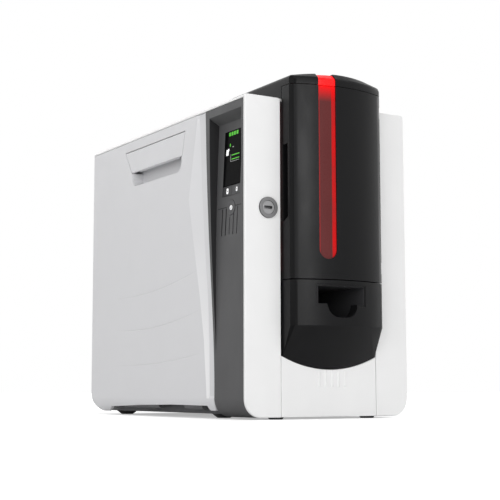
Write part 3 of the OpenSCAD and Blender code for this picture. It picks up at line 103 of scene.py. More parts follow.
class Graph:
    """Builds the shader nodes of one material, reading Object coordinates."""

    def __init__(self, name: str) -> None:
        """Starts an empty material.

        Args:
            name: The material's name.
        """
        self.material = bpy.data.materials.new(name)
        self.material.use_nodes = True
        self.tree = self.material.node_tree
        self.tree.nodes.clear()
        self.out = self.tree.nodes.new("ShaderNodeOutputMaterial")
        self.place = self.node("ShaderNodeTexCoord").outputs["Object"]

    def node(self, kind: str, links: Optional[Dict] = None, **settings: object) -> bpy.types.Node:
        """Adds a node.

        Args:
            kind: The node's type name.
            links: Values or sockets for its inputs, by name or number.
            **settings: Properties of the node.

        Returns:
            The new node.
        """
        made = self.tree.nodes.new(kind)
        for key, value in settings.items():
            setattr(made, key, value)
        for key, value in (links or {}).items():
            if isinstance(value, Socket):
                self.tree.links.new(value, made.inputs[key])
            else:
                made.inputs[key].default_value = value
        return made

    def stretched(self, scale: Point) -> Socket:
        """Gives the place, stretched along each axis by scale."""
        return self.node("ShaderNodeMapping", {"Vector": self.place, "Scale": scale}).outputs[0]

    def noise(self, size: float, detail: float = 3.0, along: Optional[Socket] = None) -> Socket:
        """Gives a noise whose lumps are about size metres wide.

        Args:
            size: Width of a lump, in metres.
            detail: Number of finer octaves.
            along: The coordinates, or the plain place.

        Returns:
            The noise value, near 0.5 on average.
        """
        made = self.node(
            "ShaderNodeTexNoise",
            {"Vector": along or self.place, "Scale": 1.0 / size, "Detail": detail},
        )
        return made.outputs["Fac"]

    def remap(self, value: Socket, low: float, high: float, start: float = 0.3, end: float = 0.7) -> Socket:
        """Maps a value from one span to another, clamped.

        Args:
            value: The value.
            low: The result at start.
            high: The result at end.
            start: Where the value's span starts.
            end: Where it ends.

        Returns:
            The mapped value.
        """
        made = self.node(
            "ShaderNodeMapRange",
            {"Value": value, "From Min": start, "From Max": end, "To Min": low, "To Max": high},
        )
        return made.outputs[0]

    def math(self, kind: Op, first: object, second: object = 0.0) -> Socket:
        """Applies one arithmetic operation to one or two values."""
        return self.node("ShaderNodeMath", {0: first, 1: second}, operation=kind.value).outputs[0]

    def mix(self, share: object, first: object, second: object) -> Socket:
        """Mixes two colours.

        Args:
            share: The second colour's share, from 0 to 1.
            first: The colour at 0.
            second: The colour at 1.

        Returns:
            The mixed colour.
        """
        made = self.node("ShaderNodeMix", data_type="RGBA")
        factor, one, other = made.inputs[0], made.inputs[6], made.inputs[7]
        for socket, value in ((factor, share), (one, first), (other, second)):
            if isinstance(value, Socket):
                self.tree.links.new(value, socket)
            else:
                socket.default_value = (*value, 1.0) if isinstance(value, tuple) else value
        return made.outputs[2]

    def shade(self, colour: Colour, factor: float) -> Colour:
        """Gives a colour times a factor, kept at most 1."""
        return tuple(min(1.0, part * factor) for part in colour)

    def rounded(self, radius: float) -> Socket:
        """Gives the normal with edges rounded by radius, in metres."""
        return self.node("ShaderNodeBevel", {"Radius": radius}, samples=4).outputs[0]

    def edge_mask(self, radius: float) -> Socket:
        """Tells sharp edges from faces.

        Args:
            radius: How far an edge reaches, in metres.

        Returns:
            1 on sharp edges and 0 on faces.
        """
        true = self.node("ShaderNodeNewGeometry").outputs["Normal"]
        dot = self.node("ShaderNodeVectorMath", {0: self.rounded(radius), 1: true}, operation="DOT_PRODUCT")
        return self.remap(dot.outputs["Value"], 1.0, 0.0, 0.75, 0.99)

    def bump(self, height: Socket, depth: float, under: Optional[Socket] = None) -> Socket:
        """Gives the normal of a relief.

        Args:
            height: The relief, from 0 to 1.
            depth: Its depth in metres.
            under: The normal below it.

        Returns:
            The bumped normal.
        """
        links: Dict = {"Height": height, "Distance": depth, "Strength": 1.0}
        if under is not None:
            links["Normal"] = under
        return self.node("ShaderNodeBump", links).outputs[0]

    def finish(self, **sockets: object) -> bpy.types.Material:
        """Adds the surface shader with these inputs and gives the material.

        Args:
            **sockets: Inputs of the Principled shader, with _ for a space.

        Returns:
            The finished material.
        """
        links = {key.replace("_", " "): value for key, value in sockets.items()}
        shader = self.node("ShaderNodeBsdfPrincipled", links)
        self.tree.links.new(shader.outputs[0], self.out.inputs["Surface"])
        return self.material


class Finish:
    """A finish that makes its own material."""

    def material(self, name: str) -> bpy.types.Material:
        """Makes the material of this name."""
        raise NotImplementedError


@dataclass(frozen=True)
class MouldedPlastic(Finish):
    """An injection moulded plastic with a fine spark-eroded texture, and a painted highlight on its sharp
    edges.
    """

    colour: Colour
    roughness: float = 0.5
    grain: float = 0.7 * MM
    grain_depth: float = 0.03 * MM
    tone_spread: float = 0.03
    painted_edge_highlight: float = 1.12
    edge_radius: float = 0.5 * MM
    specular: float = 0.4
    speck: float = 1.6 * MM
    speck_share: float = 0.35
    drawn_out: Point = (1.0, 1.0, 0.35)

    def material(self, name: str) -> bpy.types.Material:
        """Makes the material.

        Args:
            name: Its name.

        Returns:
            The material.
        """
        g = Graph(name)
        dark = g.shade(self.colour, 1.0 - self.tone_spread)
        light = g.shade(self.colour, 1.0 + self.tone_spread)
        body = g.mix(g.remap(g.noise(CLOUD, 2.0), 0.0, 1.0), dark, light)
        specks = g.remap(g.noise(self.speck), 0.0, self.speck_share, 0.45, 0.75)
        body = g.mix(specks, body, dark)
        # painted highlight: sharp edges are painted lighter, standing in for the light that their small
        # radius catches
        body = g.mix(g.edge_mask(self.edge_radius), body, g.shade(self.colour, self.painted_edge_highlight))
        smear = g.noise(SMEAR, 4.0, g.stretched(self.drawn_out))
        pits = g.node("ShaderNodeTexVoronoi", {"Vector": g.place, "Scale": 1.0 / self.grain})
        pitted = g.remap(pits.outputs[0], 0.4, 1.0, 0.0, 0.6)
        relief = g.math(Op.MULTIPLY, g.noise(self.grain * 0.6, 2.0), pitted)
        return g.finish(
            Base_Color=body,
            Roughness=g.remap(smear, self.roughness - 0.05, self.roughness + 0.06),
            Normal=g.bump(relief, self.grain_depth, g.rounded(self.edge_radius)),
            Specular_IOR_Level=self.specular,
        )


@dataclass(frozen=True)
class PressedDoor(Finish):
    """The door's pale plastic with shallow pressed creases of a generic layout, with painted shade in the
    creases and a painted highlight on its sharp edges.
    """

    colour: Colour = srgb(226, 226, 228)
    # painted highlight: the colour that the plastic takes towards its foot, lighter where a steeper facet
    # catches more light
    foot_highlight_colour: Colour = srgb(226, 226, 228)
    foot_highlight_fade: Span = (0.06, 0.2)  # heights in metres
    start: float = -90 * MM
    length: float = 230 * MM
    # Height at the start, rise and sag of each crease, in metres
    creases: Tuple[Point, ...] = ((0.162, -0.052, 0.03), (0.118, -0.05, 0.034), (0.07, -0.03, 0.02))
    width: float = 0.9 * MM
    depth: float = 0.25 * MM
    # Shares of the length over which the creases rise and die away
    fade_in: Span = (0.02, 0.2)
    fade_out: Span = (0.7, 0.98)
    pit: float = 0.45 * MM
    painted_edge_highlight: float = 1.08
    edge_radius: float = 0.5 * MM
    roughness: Span = (0.45, 0.56)
    specular: float = 0.4

    def material(self, name: str) -> bpy.types.Material:
        """Makes the material.

        Args:
            name: Its name.

        Returns:
            The material.
        """
        g = Graph(name)
        parts = g.node("ShaderNodeSeparateXYZ", {0: g.place})
        depth, height = parts.outputs[1], parts.outputs[2]
        run = g.remap(depth, 0.0, 1.0, self.start, self.start + self.length)
        # painted highlight: the colour turns lighter towards the foot
        tone = g.mix(g.remap(height, 1.0, 0.0, *self.foot_highlight_fade), self.colour, self.foot_highlight_colour)
        body = g.mix(g.remap(g.noise(CLOUD, 2.0), 0.04, 0.0), tone, g.shade(self.colour, 0.7))
        risen = g.remap(run, 0.0, 1.0, *self.fade_in)
        fade = g.math(Op.MULTIPLY, risen, g.remap(run, 1.0, 0.0, *self.fade_out))
        groove: object = 0.0
        for level, rise, sag in self.creases:
            bent = g.math(Op.MULTIPLY, g.math(Op.MULTIPLY, run, run), sag)
            line = g.math(Op.ADD, g.math(Op.ADD, g.math(Op.MULTIPLY, run, rise), bent), level)
            away = g.math(Op.ABSOLUTE, g.math(Op.SUBTRACT, height, line))
            groove = g.math(Op.MAXIMUM, groove, g.remap(away, 1.0, 0.0, 0.0, self.width))
        groove = g.math(Op.MULTIPLY, groove, fade)
        # painted shade: the creases are painted darker, as shade would fall in them
        body = g.mix(g.math(Op.MULTIPLY, groove, 0.4), body, g.shade(self.colour, 0.8))
        # painted highlight: sharp edges are painted lighter
        body = g.mix(g.edge_mask(self.edge_radius), body, g.shade(self.colour, self.painted_edge_highlight))
        relief = g.math(Op.SUBTRACT, g.math(Op.MULTIPLY, g.noise(self.pit, 2.0), 0.06), groove)
        return g.finish(
            Base_Color=body,
            Roughness=g.remap(g.noise(SMEAR, 4.0), *self.roughness),
            Normal=g.bump(relief, self.depth, g.rounded(self.edge_radius)),
            Specular_IOR_Level=self.specular,
        )


@dataclass(frozen=True)
class SheetMetal(Finish):
    """A plated or ground metal with a drawn grain along one axis."""

    colour: Colour
    roughness: float = 0.35
    grain: Point = (1.0, 0.04, 1.0)
    spangle: float = 0.0
    line: float = 0.5 * MM
    line_depth: float = 0.01 * MM
    edge_radius: float = 0.3 * MM

    def material(self, name: str) -> bpy.types.Material:
        """Makes the material.

        Args:
            name: Its name.

        Returns:
            The material.
        """
        g = Graph(name)
        lines = g.noise(self.line, 3.0, g.stretched(self.grain))
        body = g.mix(g.remap(lines, 0.0, 1.0), g.shade(self.colour, 0.88), g.shade(self.colour, 1.08))
        if self.spangle:
            cells = g.node("ShaderNodeTexVoronoi", {"Vector": g.place, "Scale": 1.0 / self.spangle})
            tint = g.remap(cells.outputs["Color"], 0.0, 0.35, 0.0, 1.0)
            body = g.mix(tint, body, g.shade(self.colour, 0.75))
        rough = g.remap(lines, self.roughness - 0.08, self.roughness + 0.1)
        normal = g.bump(lines, self.line_depth, g.rounded(self.edge_radius))
        return g.finish(Base_Color=body, Roughness=rough, Normal=normal, Metallic=1.0)


@dataclass(frozen=True)
class Rubber(Finish):
    """A matt or tacky rubber with fine ground marks."""

    colour: Colour
    roughness: float = 0.8
    sheen: float = 0.15
    grit: float = 0.4 * MM
    grit_depth: float = 0.05 * MM
    dust: float = 7 * MM
    edge_radius: float = 0.3 * MM

    def material(self, name: str) -> bpy.types.Material:
        """Makes the material.

        Args:
            name: Its name.

        Returns:
            The material.
        """
        g = Graph(name)
        grit = g.noise(self.grit, 4.0)
        dust = g.noise(self.dust)
        body = g.mix(g.remap(dust, 0.0, 0.5), g.shade(self.colour, 0.9), g.shade(self.colour, 1.6))
        rough = g.remap(grit, self.roughness - 0.12, min(1.0, self.roughness + 0.08))
        normal = g.bump(grit, self.grit_depth, g.rounded(self.edge_radius))
        return g.finish(Base_Color=body, Roughness=rough, Normal=normal, Sheen_Weight=self.sheen)


@dataclass(frozen=True)
class LitPlastic(Finish):
    """A translucent tinted plastic that is lit from inside."""

    colour: Colour
    glow: float = 1.0
    roughness: float = 0.25
    fade_low: float = 0.75
    specular: float = 0.25
    depth: float = 14 * MM
    grain: float = 0.8 * MM
    grain_depth: float = 0.02 * MM
    edge_radius: float = 0.4 * MM

    def material(self, name: str) -> bpy.types.Material:
        """Makes the material.

        Args:
            name: Its name.

        Returns:
            The material.
        """
        g = Graph(name)
        depth = g.noise(self.depth, 2.0)
        body = g.mix(g.remap(depth, 0.0, 1.0), g.shade(self.colour, self.fade_low), self.colour)
        grain = g.noise(self.grain, 2.0)
        normal = g.bump(grain, self.grain_depth, g.rounded(self.edge_radius))
        return g.finish(
            Base_Color=body,
            Emission_Color=body,
            Emission_Strength=self.glow,
            Roughness=g.remap(grain, self.roughness - 0.05, self.roughness + 0.08),
            Normal=normal,
            Specular_IOR_Level=self.specular,
        )


@dataclass(frozen=True)
class TintedWindow(Finish):
    """A tinted window strip whose long edges and top are painted brighter and glow, as painted light."""

    middle: Colour
    edge: Colour
    bright: Colour
    left: float
    right: float
    lit_from: float
    lit_to: float
    # Shares of the width over which the left edge fades out and the right one fades in
    left_band: Span = (0.06, 0.11)
    right_band: Span = (0.74, 0.78)
    depth: float = 40 * MM
    highlight_streak: float = 11 * MM
    grain: float = 0.6 * MM
    grain_depth: float = 0.01 * MM
    edge_radius: float = 0.4 * MM
    roughness: Span = (0.22, 0.36)
    specular: float = 0.1

    def material(self, name: str) -> bpy.types.Material:
        """Makes the material.

        Args:
            name: Its name.

        Returns:
            The material.
        """
        g = Graph(name)
        parts = g.node("ShaderNodeSeparateXYZ", {0: g.place})
        share = g.remap(parts.outputs[0], 0.0, 1.0, self.left, self.right)
        near_left = g.remap(share, 1.0, 0.0, *self.left_band)
        near_right = g.remap(share, 0.0, 1.0, *self.right_band)
        near_top = g.remap(parts.outputs[2], 0.0, 1.0, self.lit_from, self.lit_to)
        depth = g.remap(g.noise(self.depth, 2.0, g.stretched((1.0, 1.0, 0.4))), 0.0, 0.5)
        body = g.mix(depth, self.middle, g.shade(self.middle, 1.4))
        # painted light: the left edge, a streaked band at the right edge and the top are painted brighter,
        # and these parts glow most
        body = g.mix(near_left, body, self.edge)
        highlight_streak = g.remap(g.noise(self.highlight_streak, 3.0, g.stretched((1.0, 1.0, 0.25))), 0.45, 0.95)
        body = g.mix(g.math(Op.MULTIPLY, near_right, highlight_streak), body, self.bright)
        body = g.mix(near_top, body, self.bright)
        lit = g.math(Op.MAXIMUM, g.math(Op.MULTIPLY, near_right, 0.2), near_top)
        fine = g.noise(self.grain, 2.0)
        return g.finish(
            Base_Color=body,
            Emission_Color=body,
            Emission_Strength=g.math(Op.ADD, g.math(Op.MULTIPLY, lit, 0.6), 0.1),
            Roughness=g.remap(fine, *self.roughness),
            Normal=g.bump(fine, self.grain_depth, g.rounded(self.edge_radius)),
            Specular_IOR_Level=self.specular,
        )


@dataclass(frozen=True)
class DarkGlass(Finish):
    """A smooth dark glass pane with faint wipe marks."""

    colour: Colour
    roughness: float = 0.08
    wipe: float = 9 * MM
    index: float = 1.15
    specular: float = 0.2
    edge_radius: float = 0.3 * MM

    def material(self, name: str) -> bpy.types.Material:
        """Makes the material.

        Args:
            name: Its name.

        Returns:
            The material.
        """
        g = Graph(name)
        wipe = g.noise(self.wipe, 3.0, g.stretched((1.0, 0.4, 1.6)))
        return g.finish(
            Base_Color=g.mix(g.remap(wipe, 0.0, 0.5), self.colour, g.shade(self.colour, 1.5)),
            Roughness=g.remap(wipe, self.roughness, self.roughness + 0.12),
            IOR=self.index,
            Specular_IOR_Level=self.specular,
            Normal=g.rounded(self.edge_radius),
        )


@dataclass(frozen=True)
class CircuitBoard(Finish):
    """A solder masked board with copper traces and pads."""

    colour: Colour
    pad_colour: Colour = (0.55, 0.5, 0.36)
    # Traces and pads per metre
    traces: float = 220.0
    pads: float = 260.0
    trace_depth: float = 0.03 * MM
    edge_radius: float = 0.2 * MM

    def material(self, name: str) -> bpy.types.Material:
        """Makes the material.

        Args:
            name: Its name.

        Returns:
            The material.
        """
        g = Graph(name)
        cells = g.node(
            "ShaderNodeTexVoronoi",
            {"Vector": g.stretched((1.0, 0.25, 1.0)), "Scale": self.traces},
            distance="MANHATTAN",
            feature="DISTANCE_TO_EDGE",
        )
        traces = g.remap(cells.outputs[0], 1.0, 0.0, 0.03, 0.06)
        pads = g.node("ShaderNodeTexVoronoi", {"Vector": g.place, "Scale": self.pads})
        dots = g.remap(pads.outputs[0], 1.0, 0.0, 0.16, 0.2)
        body = g.mix(traces, self.colour, g.shade(self.colour, 1.8))
        return g.finish(
            Base_Color=g.mix(dots, body, self.pad_colour),
            Roughness=g.remap(dots, 0.32, 0.45, 0.0, 1.0),
            Normal=g.bump(traces, self.trace_depth, g.rounded(self.edge_radius)),
            Coat_Weight=0.3,
        )


FINISHES: Dict[str, Finish] = {
    "white_shell": MouldedPlastic(srgb(241, 241, 241), 0.48, painted_edge_highlight=1.05, tone_spread=0.015),
    "door_grey": MouldedPlastic(srgb(226, 226, 228), 0.5, painted_edge_highlight=1.1, tone_spread=0.015),
    "strip_grey": MouldedPlastic(srgb(88, 88, 89), 0.5, painted_edge_highlight=1.3, specular=0.2),
    "module_black": MouldedPlastic(srgb(23, 23, 24), 0.34, painted_edge_highlight=3.0, specular=0.12),
    "base_dark": MouldedPlastic(srgb(108, 108, 110), 0.55, painted_edge_highlight=1.3),
    "inner_black": MouldedPlastic(srgb(34, 34, 35), 0.5, painted_edge_highlight=1.5, specular=0.25),
    "panel_grey": MouldedPlastic(srgb(178, 180, 182), 0.45, 0.4 * MM, 0.05 * MM),
    "key_grey": MouldedPlastic(srgb(52, 52, 54), 0.4, 0.4 * MM, painted_edge_highlight=1.8),
    "gear_white": MouldedPlastic(srgb(236, 235, 228), 0.35, 0.4 * MM, 0.01 * MM),
    "motor_black": MouldedPlastic(srgb(60, 60, 62), 0.35, 0.4 * MM),
    "spool_white": MouldedPlastic(srgb(232, 232, 230), 0.4, 0.5 * MM),
    "spool_blue": MouldedPlastic(srgb(64, 118, 178), 0.4, 0.5 * MM),
    "flip_dark": MouldedPlastic(srgb(66, 70, 78), 0.45, 0.5 * MM),
    "steel": SheetMetal(srgb(196, 198, 200), 0.38, (1.0, 1.0, 0.1), 9 * MM),
    "pin_steel": SheetMetal(srgb(205, 205, 208), 0.22),
    "lock_metal": SheetMetal(srgb(132, 132, 133), 0.42, (0.3, 1.0, 1.0)),
    "heater_steel": SheetMetal(srgb(222, 222, 226), 0.12, (0.05, 1.0, 1.0)),
    "brass": SheetMetal(srgb(214, 178, 96), 0.28, (0.1, 1.0, 1.0)),
    "screw_dark": SheetMetal(srgb(96, 96, 100), 0.36),
    "rubber": Rubber(srgb(50, 50, 50), 0.85),
    "roller_rubber": Rubber(srgb(62, 62, 66), 0.75),
    "cleaner_blue": Rubber(srgb(104, 146, 196), 0.4, 0.3),
    "window_red": TintedWindow(
        srgb(92, 42, 42), srgb(172, 40, 42), srgb(206, 10, 14), -30 * MM, -10 * MM, 328 * MM, 345 * MM
    ),
    "light_red": LitPlastic(srgb(236, 18, 20), 0.8),
    "display_glass": DarkGlass(srgb(11, 11, 12)),
    "lcd": DarkGlass(srgb(24, 26, 28), 0.3),
    "board_green": CircuitBoard(srgb(30, 104, 66)),
}

# Finishes of single details, which no slot of the record names
DETAILS: Dict[str, Finish] = {
    "mark_green": LitPlastic(srgb(72, 172, 40), 0.7),
    "mark_white": LitPlastic(srgb(244, 244, 244), 0.8),
    "mark_grey": LitPlastic(srgb(150, 152, 150), 0.5),
    # dark seams and print, and the painted shade of the ring round the lock
    "seam_and_shade_dark": MouldedPlastic(srgb(22, 22, 23), 0.6, painted_edge_highlight=1.2, specular=0.2),
    # painted light: a lighter grey for the card bay's walls, standing in for light that reaches into the
    # bay
    "bay_painted_light": MouldedPlastic(srgb(62, 62, 64), 0.5, painted_edge_highlight=1.2, specular=0.3),
    # painted shade: a blacker, less glossy copy of the module's plastic for its slanting corners
    "chamfer_painted_shade": MouldedPlastic(srgb(12, 12, 13), 0.42, painted_edge_highlight=2.0, specular=0.08),
    # painted shade: a darker copy of the strip's plastic for the deep wall of its well
    "well_painted_shade": MouldedPlastic(srgb(47, 47, 48), 0.55, painted_edge_highlight=1.4, specular=0.1),
    # painted highlight: a lighter copy of the door's plastic for its sloped facet, lighter still towards
    # the foot
    "facet_painted_light": PressedDoor(srgb(233, 233, 235), srgb(247, 247, 248), creases=()),
    "lock_face": SheetMetal(srgb(160, 160, 161), 0.38, (0.3, 1.0, 1.0)),
    "guide_red": LitPlastic(srgb(190, 10, 12), 0.7, 0.35, 0.3),
}
# CAD nodes that wear such a finish as a whole
NODE_DETAILS = {"light_guide": "guide_red"}


class Palette:
    """Makes each finish once and puts it on pieces."""

    def __init__(self) -> None:
        """Makes every finish of the printer."""
        self.made: Dict[str, bpy.types.Material] = {
            slot: finish.material("finish_" + slot) for slot, finish in {**FINISHES, **DETAILS}.items()
        }

    def paint(self, piece: bpy.types.Object, slot: str) -> None:
        """Puts one finish on a whole piece.

        Args:
            piece: The piece.
            slot: The record's slot name.
        """
        piece.data.materials.clear()
        piece.data.materials.append(self.made[slot])

    def detail(self, piece: bpy.types.Object, name: str, chosen: Choice) -> None:
        """Puts a second finish on some faces of a piece.

        Args:
            piece: The piece, painted already.
            name: The finish.
            chosen: Says by a face's middle and normal whether it gets the finish.
        """
        piece.data.materials.append(self.made[name])
        number = len(piece.data.materials) - 1
        for face in piece.data.polygons:
            if chosen(face.center, face.normal):
                face.material_index = number

    def dress_nodes(self) -> None:
        """Puts the finishes on the CAD nodes, by the slot that each one has."""
        for name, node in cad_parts.items():
            for number, old in enumerate(node.data.materials):
                slot = NODE_DETAILS.get(name, old.name.split(".")[0])
                node.data.materials[number] = self.made[slot]
            LOG.info("dressed CAD node %s", name)


# ---------------------------------------------------------------- shaping


def deselect() -> None:
    """Leaves edit mode and deselects every object."""
    if bpy.context.object and bpy.context.object.mode != "OBJECT":
        bpy.ops.object.mode_set(mode="OBJECT")
    bpy.ops.object.select_all(action="DESELECT")


def take(piece: bpy.types.Object) -> None:
    """Makes a piece the only selected and the active one.

    Args:
        piece: The piece.
    """
    deselect()
    piece.hide_set(False)
    piece.select_set(True)
    bpy.context.view_layer.objects.active = piece


def settle(piece: bpy.types.Object) -> None:
    """Moves a piece's place into its mesh, with its object at the origin."""
    take(piece)
    bpy.ops.object.transform_apply(location=True, rotation=True, scale=True)


def apply_modifier(piece: bpy.types.Object, kind: str, **settings: object) -> None:
    """Adds a modifier and applies it.

    Args:
        piece: The piece.
        kind: The modifier's type.
        **settings: Its settings.
    """
    take(piece)
    made = piece.modifiers.new(kind.lower(), kind)
    for key, value in settings.items():
        setattr(made, key, value)
    bpy.ops.object.modifier_apply(modifier=made.name)


def smooth(piece: bpy.types.Object, degrees: float) -> None:
    """Shades a piece smooth, apart from edges sharper than this angle."""
    take(piece)
    bpy.ops.object.shade_smooth_by_angle(angle=math.radians(degrees))


def weigh_normals(piece: bpy.types.Object) -> None:
    """Turns the shading normals to the large faces, so that flat faces look flat."""
    apply_modifier(piece, "WEIGHTED_NORMAL", weight=100, keep_sharp=True)


def copy_of(node: str, dissolve: bool = True) -> bpy.types.Object:
    """Copies a CAD node's mesh to a free piece with its doubles merged.

    Args:
        node: The CAD node's name.
        dissolve: Whether flat neighbours are joined to larger faces.

    Returns:
        The new piece, at the origin.
    """
    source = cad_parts[node]
    piece = bpy.data.objects.new("dressed_" + node, source.data.copy())
    bpy.context.scene.collection.objects.link(piece)
    take(piece)
    bpy.ops.object.mode_set(mode="EDIT")
    bpy.ops.mesh.select_all(action="SELECT")
    bpy.ops.mesh.remove_doubles(threshold=ONE_POINT)
    bpy.ops.mesh.customdata_custom_splitnormals_clear()
    if dissolve:
        bpy.ops.mesh.dissolve_limited(angle_limit=ONE_FACE, delimit={"NORMAL"})
    bpy.ops.object.mode_set(mode="OBJECT")
    return piece


@dataclass(frozen=True)
class EdgedShell:
    """A CAD moulding whose sharp edges get their small moulded radius."""

    node: str
    body: str
    slot: str
    radius: float = 0.5 * MM
    steps: int = 2
    angle: float = 35.0

    def build(self, palette: Palette) -> bpy.types.Object:
        """Builds and dresses the moulding.

        Args:
            palette: The finishes.

        Returns:
            The finished piece.
        """
        piece = copy_of(self.node)
        apply_modifier(
            piece,
            "BEVEL",
            width=self.radius,
            segments=self.steps,
            limit_method="ANGLE",
            angle_limit=math.radians(self.angle),
            use_clamp_overlap=True,
            harden_normals=False,
        )
        smooth(piece, self.angle)
        weigh_normals(piece)
        palette.paint(piece, self.slot)
        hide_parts(self.node)
        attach(piece, self.body)
        LOG.info("edged %s with %d faces", self.node, len(piece.data.polygons))
        return piece


# ---------------------------------------------------------------- studio


@dataclass
class Studio:
    """Camera, lamps, floor and backdrop."""

    eye: Point = (-0.724, -1.19975, 0.032)
    yaw: float = 31.39
    pitch: float = 6.58
    roll: float = 0.08
    lens: float = 86.13
    sensor: float = 36.0
    aim: Point = (0.0, 0.0, 0.17)
    # Name, place, side in metres and power in watts of each lamp
    lights: Tuple[Tuple[str, Point, float, float], ...] = (
        ("key_front", (-0.3, -2.35, 0.62), 0.75, 16.5),
        ("side_left", (-1.95, -1.3, 0.75), 1.5, 15.5),
        ("side_right", (2.2, 0.5, 0.9), 1.5, 13.0),
        ("back_soft", (-0.4, 2.3, 1.4), 1.5, 13.0),
        ("top_soft", (0.0, 0.1, 2.4), 1.5, 13.0),
    )
    surround: float = 0.36
    backdrop: float = 1.0
    floor_radius: float = 6.0
    floor_dark: Colour = (0.86, 0.86, 0.86)
    floor_light: Colour = (0.9, 0.9, 0.9)
    # The floor's glow near the printer and far off, and between which distances it grows
    glow: Span = (0.42, 1.0)
    glow_reach: Span = (0.3, 0.9)

    def camera(self) -> None:
        """Adds the camera at the photograph's view."""
        data = bpy.data.cameras.new("camera")
        data.lens = self.lens
        data.sensor_width = self.sensor
        data.clip_start = 0.05
        data.clip_end = 50.0
        made = bpy.data.objects.new("camera", data)
        made.location = self.eye
        made.rotation_euler = (
            math.radians(90.0 + self.pitch),
            math.radians(self.roll),
            math.radians(-self.yaw),
        )
        bpy.context.scene.collection.objects.link(made)
        bpy.context.scene.camera = made

    def lamp(self, name: str, place: Point, size: float, power: float) -> None:
        """Adds a soft square lamp that faces the printer.

        Args:
            name: The lamp's name.
            place: Where it stands.
            size: Its side in metres.
            power: Its power in watts.
        """
        data = bpy.data.lights.new(name, "AREA")
        data.shape = "SQUARE"
        data.size = size
        data.energy = power
        made = bpy.data.objects.new(name, data)
        made.location = place
        aim = Vector(self.aim) - Vector(place)
        made.rotation_euler = aim.to_track_quat("-Z", "Y").to_euler()
        bpy.context.scene.collection.objects.link(made)

    def world(self) -> None:
        """Sets an even pale surround, white behind the printer and in reflections."""
        world = bpy.data.worlds.new("studio")
        bpy.context.scene.world = world
        world.use_nodes = True
        tree = world.node_tree
        tree.nodes.clear()
        out = tree.nodes.new("ShaderNodeOutputWorld")
        rays = tree.nodes.new("ShaderNodeLightPath")
        mix = tree.nodes.new("ShaderNodeMixShader")
        for number, strength in enumerate((self.surround, self.backdrop), start=1):
            white = tree.nodes.new("ShaderNodeBackground")
            white.inputs[0].default_value = WHITE
            white.inputs[1].default_value = strength
            tree.links.new(white.outputs[0], mix.inputs[number])
        shown = rays.outputs["Is Camera Ray"]
        for kind in ("Is Glossy Ray", "Is Transmission Ray"):
            either = tree.nodes.new("ShaderNodeMath")
            either.operation = "MAXIMUM"
            tree.links.new(shown, either.inputs[0])
            tree.links.new(rays.outputs[kind], either.inputs[1])
            shown = either.outputs[0]
        tree.links.new(shown, mix.inputs[0])
        tree.links.new(mix.outputs[0], out.inputs[0])

    def floor(self) -> None:
        """Adds the pale floor with the printer's shadow, and no horizon."""
        deselect()
        bpy.ops.mesh.primitive_circle_add(
            vertices=96, radius=self.floor_radius, fill_type="NGON", location=(0, 0, 0)
        )
        made = bpy.context.object
        made.name = "floor"
        g = Graph("studio_floor")
        tone = g.mix(g.remap(g.noise(0.6, 2.0), 0.0, 1.0), self.floor_dark, self.floor_light)
        matt = g.node("ShaderNodeBsdfDiffuse", {"Color": tone}).outputs[0]
        away = g.node("ShaderNodeVectorMath", {0: g.place}, operation="LENGTH").outputs["Value"]
        lift = g.remap(away, *self.glow, *self.glow_reach)
        glow = g.node("ShaderNodeEmission", {"Color": WHITE, "Strength": lift}).outputs[0]
        both = g.node("ShaderNodeAddShader", {0: matt, 1: glow}).outputs[0]
        seen = g.node("ShaderNodeLightPath").outputs["Is Camera Ray"]
        mix = g.node("ShaderNodeMixShader", {0: seen, 1: matt, 2: both})
        g.tree.links.new(mix.outputs[0], g.out.inputs["Surface"])
        made.data.materials.append(g.material)

    def build(self) -> None:
        """Builds the whole studio."""
        self.camera()
        for light in self.lights:
            self.lamp(*light)
        self.world()
        self.floor()
        bpy.context.scene.view_settings.view_transform = "Standard"
        LOG.info("studio ready")


# ---------------------------------------------------------------- pieces


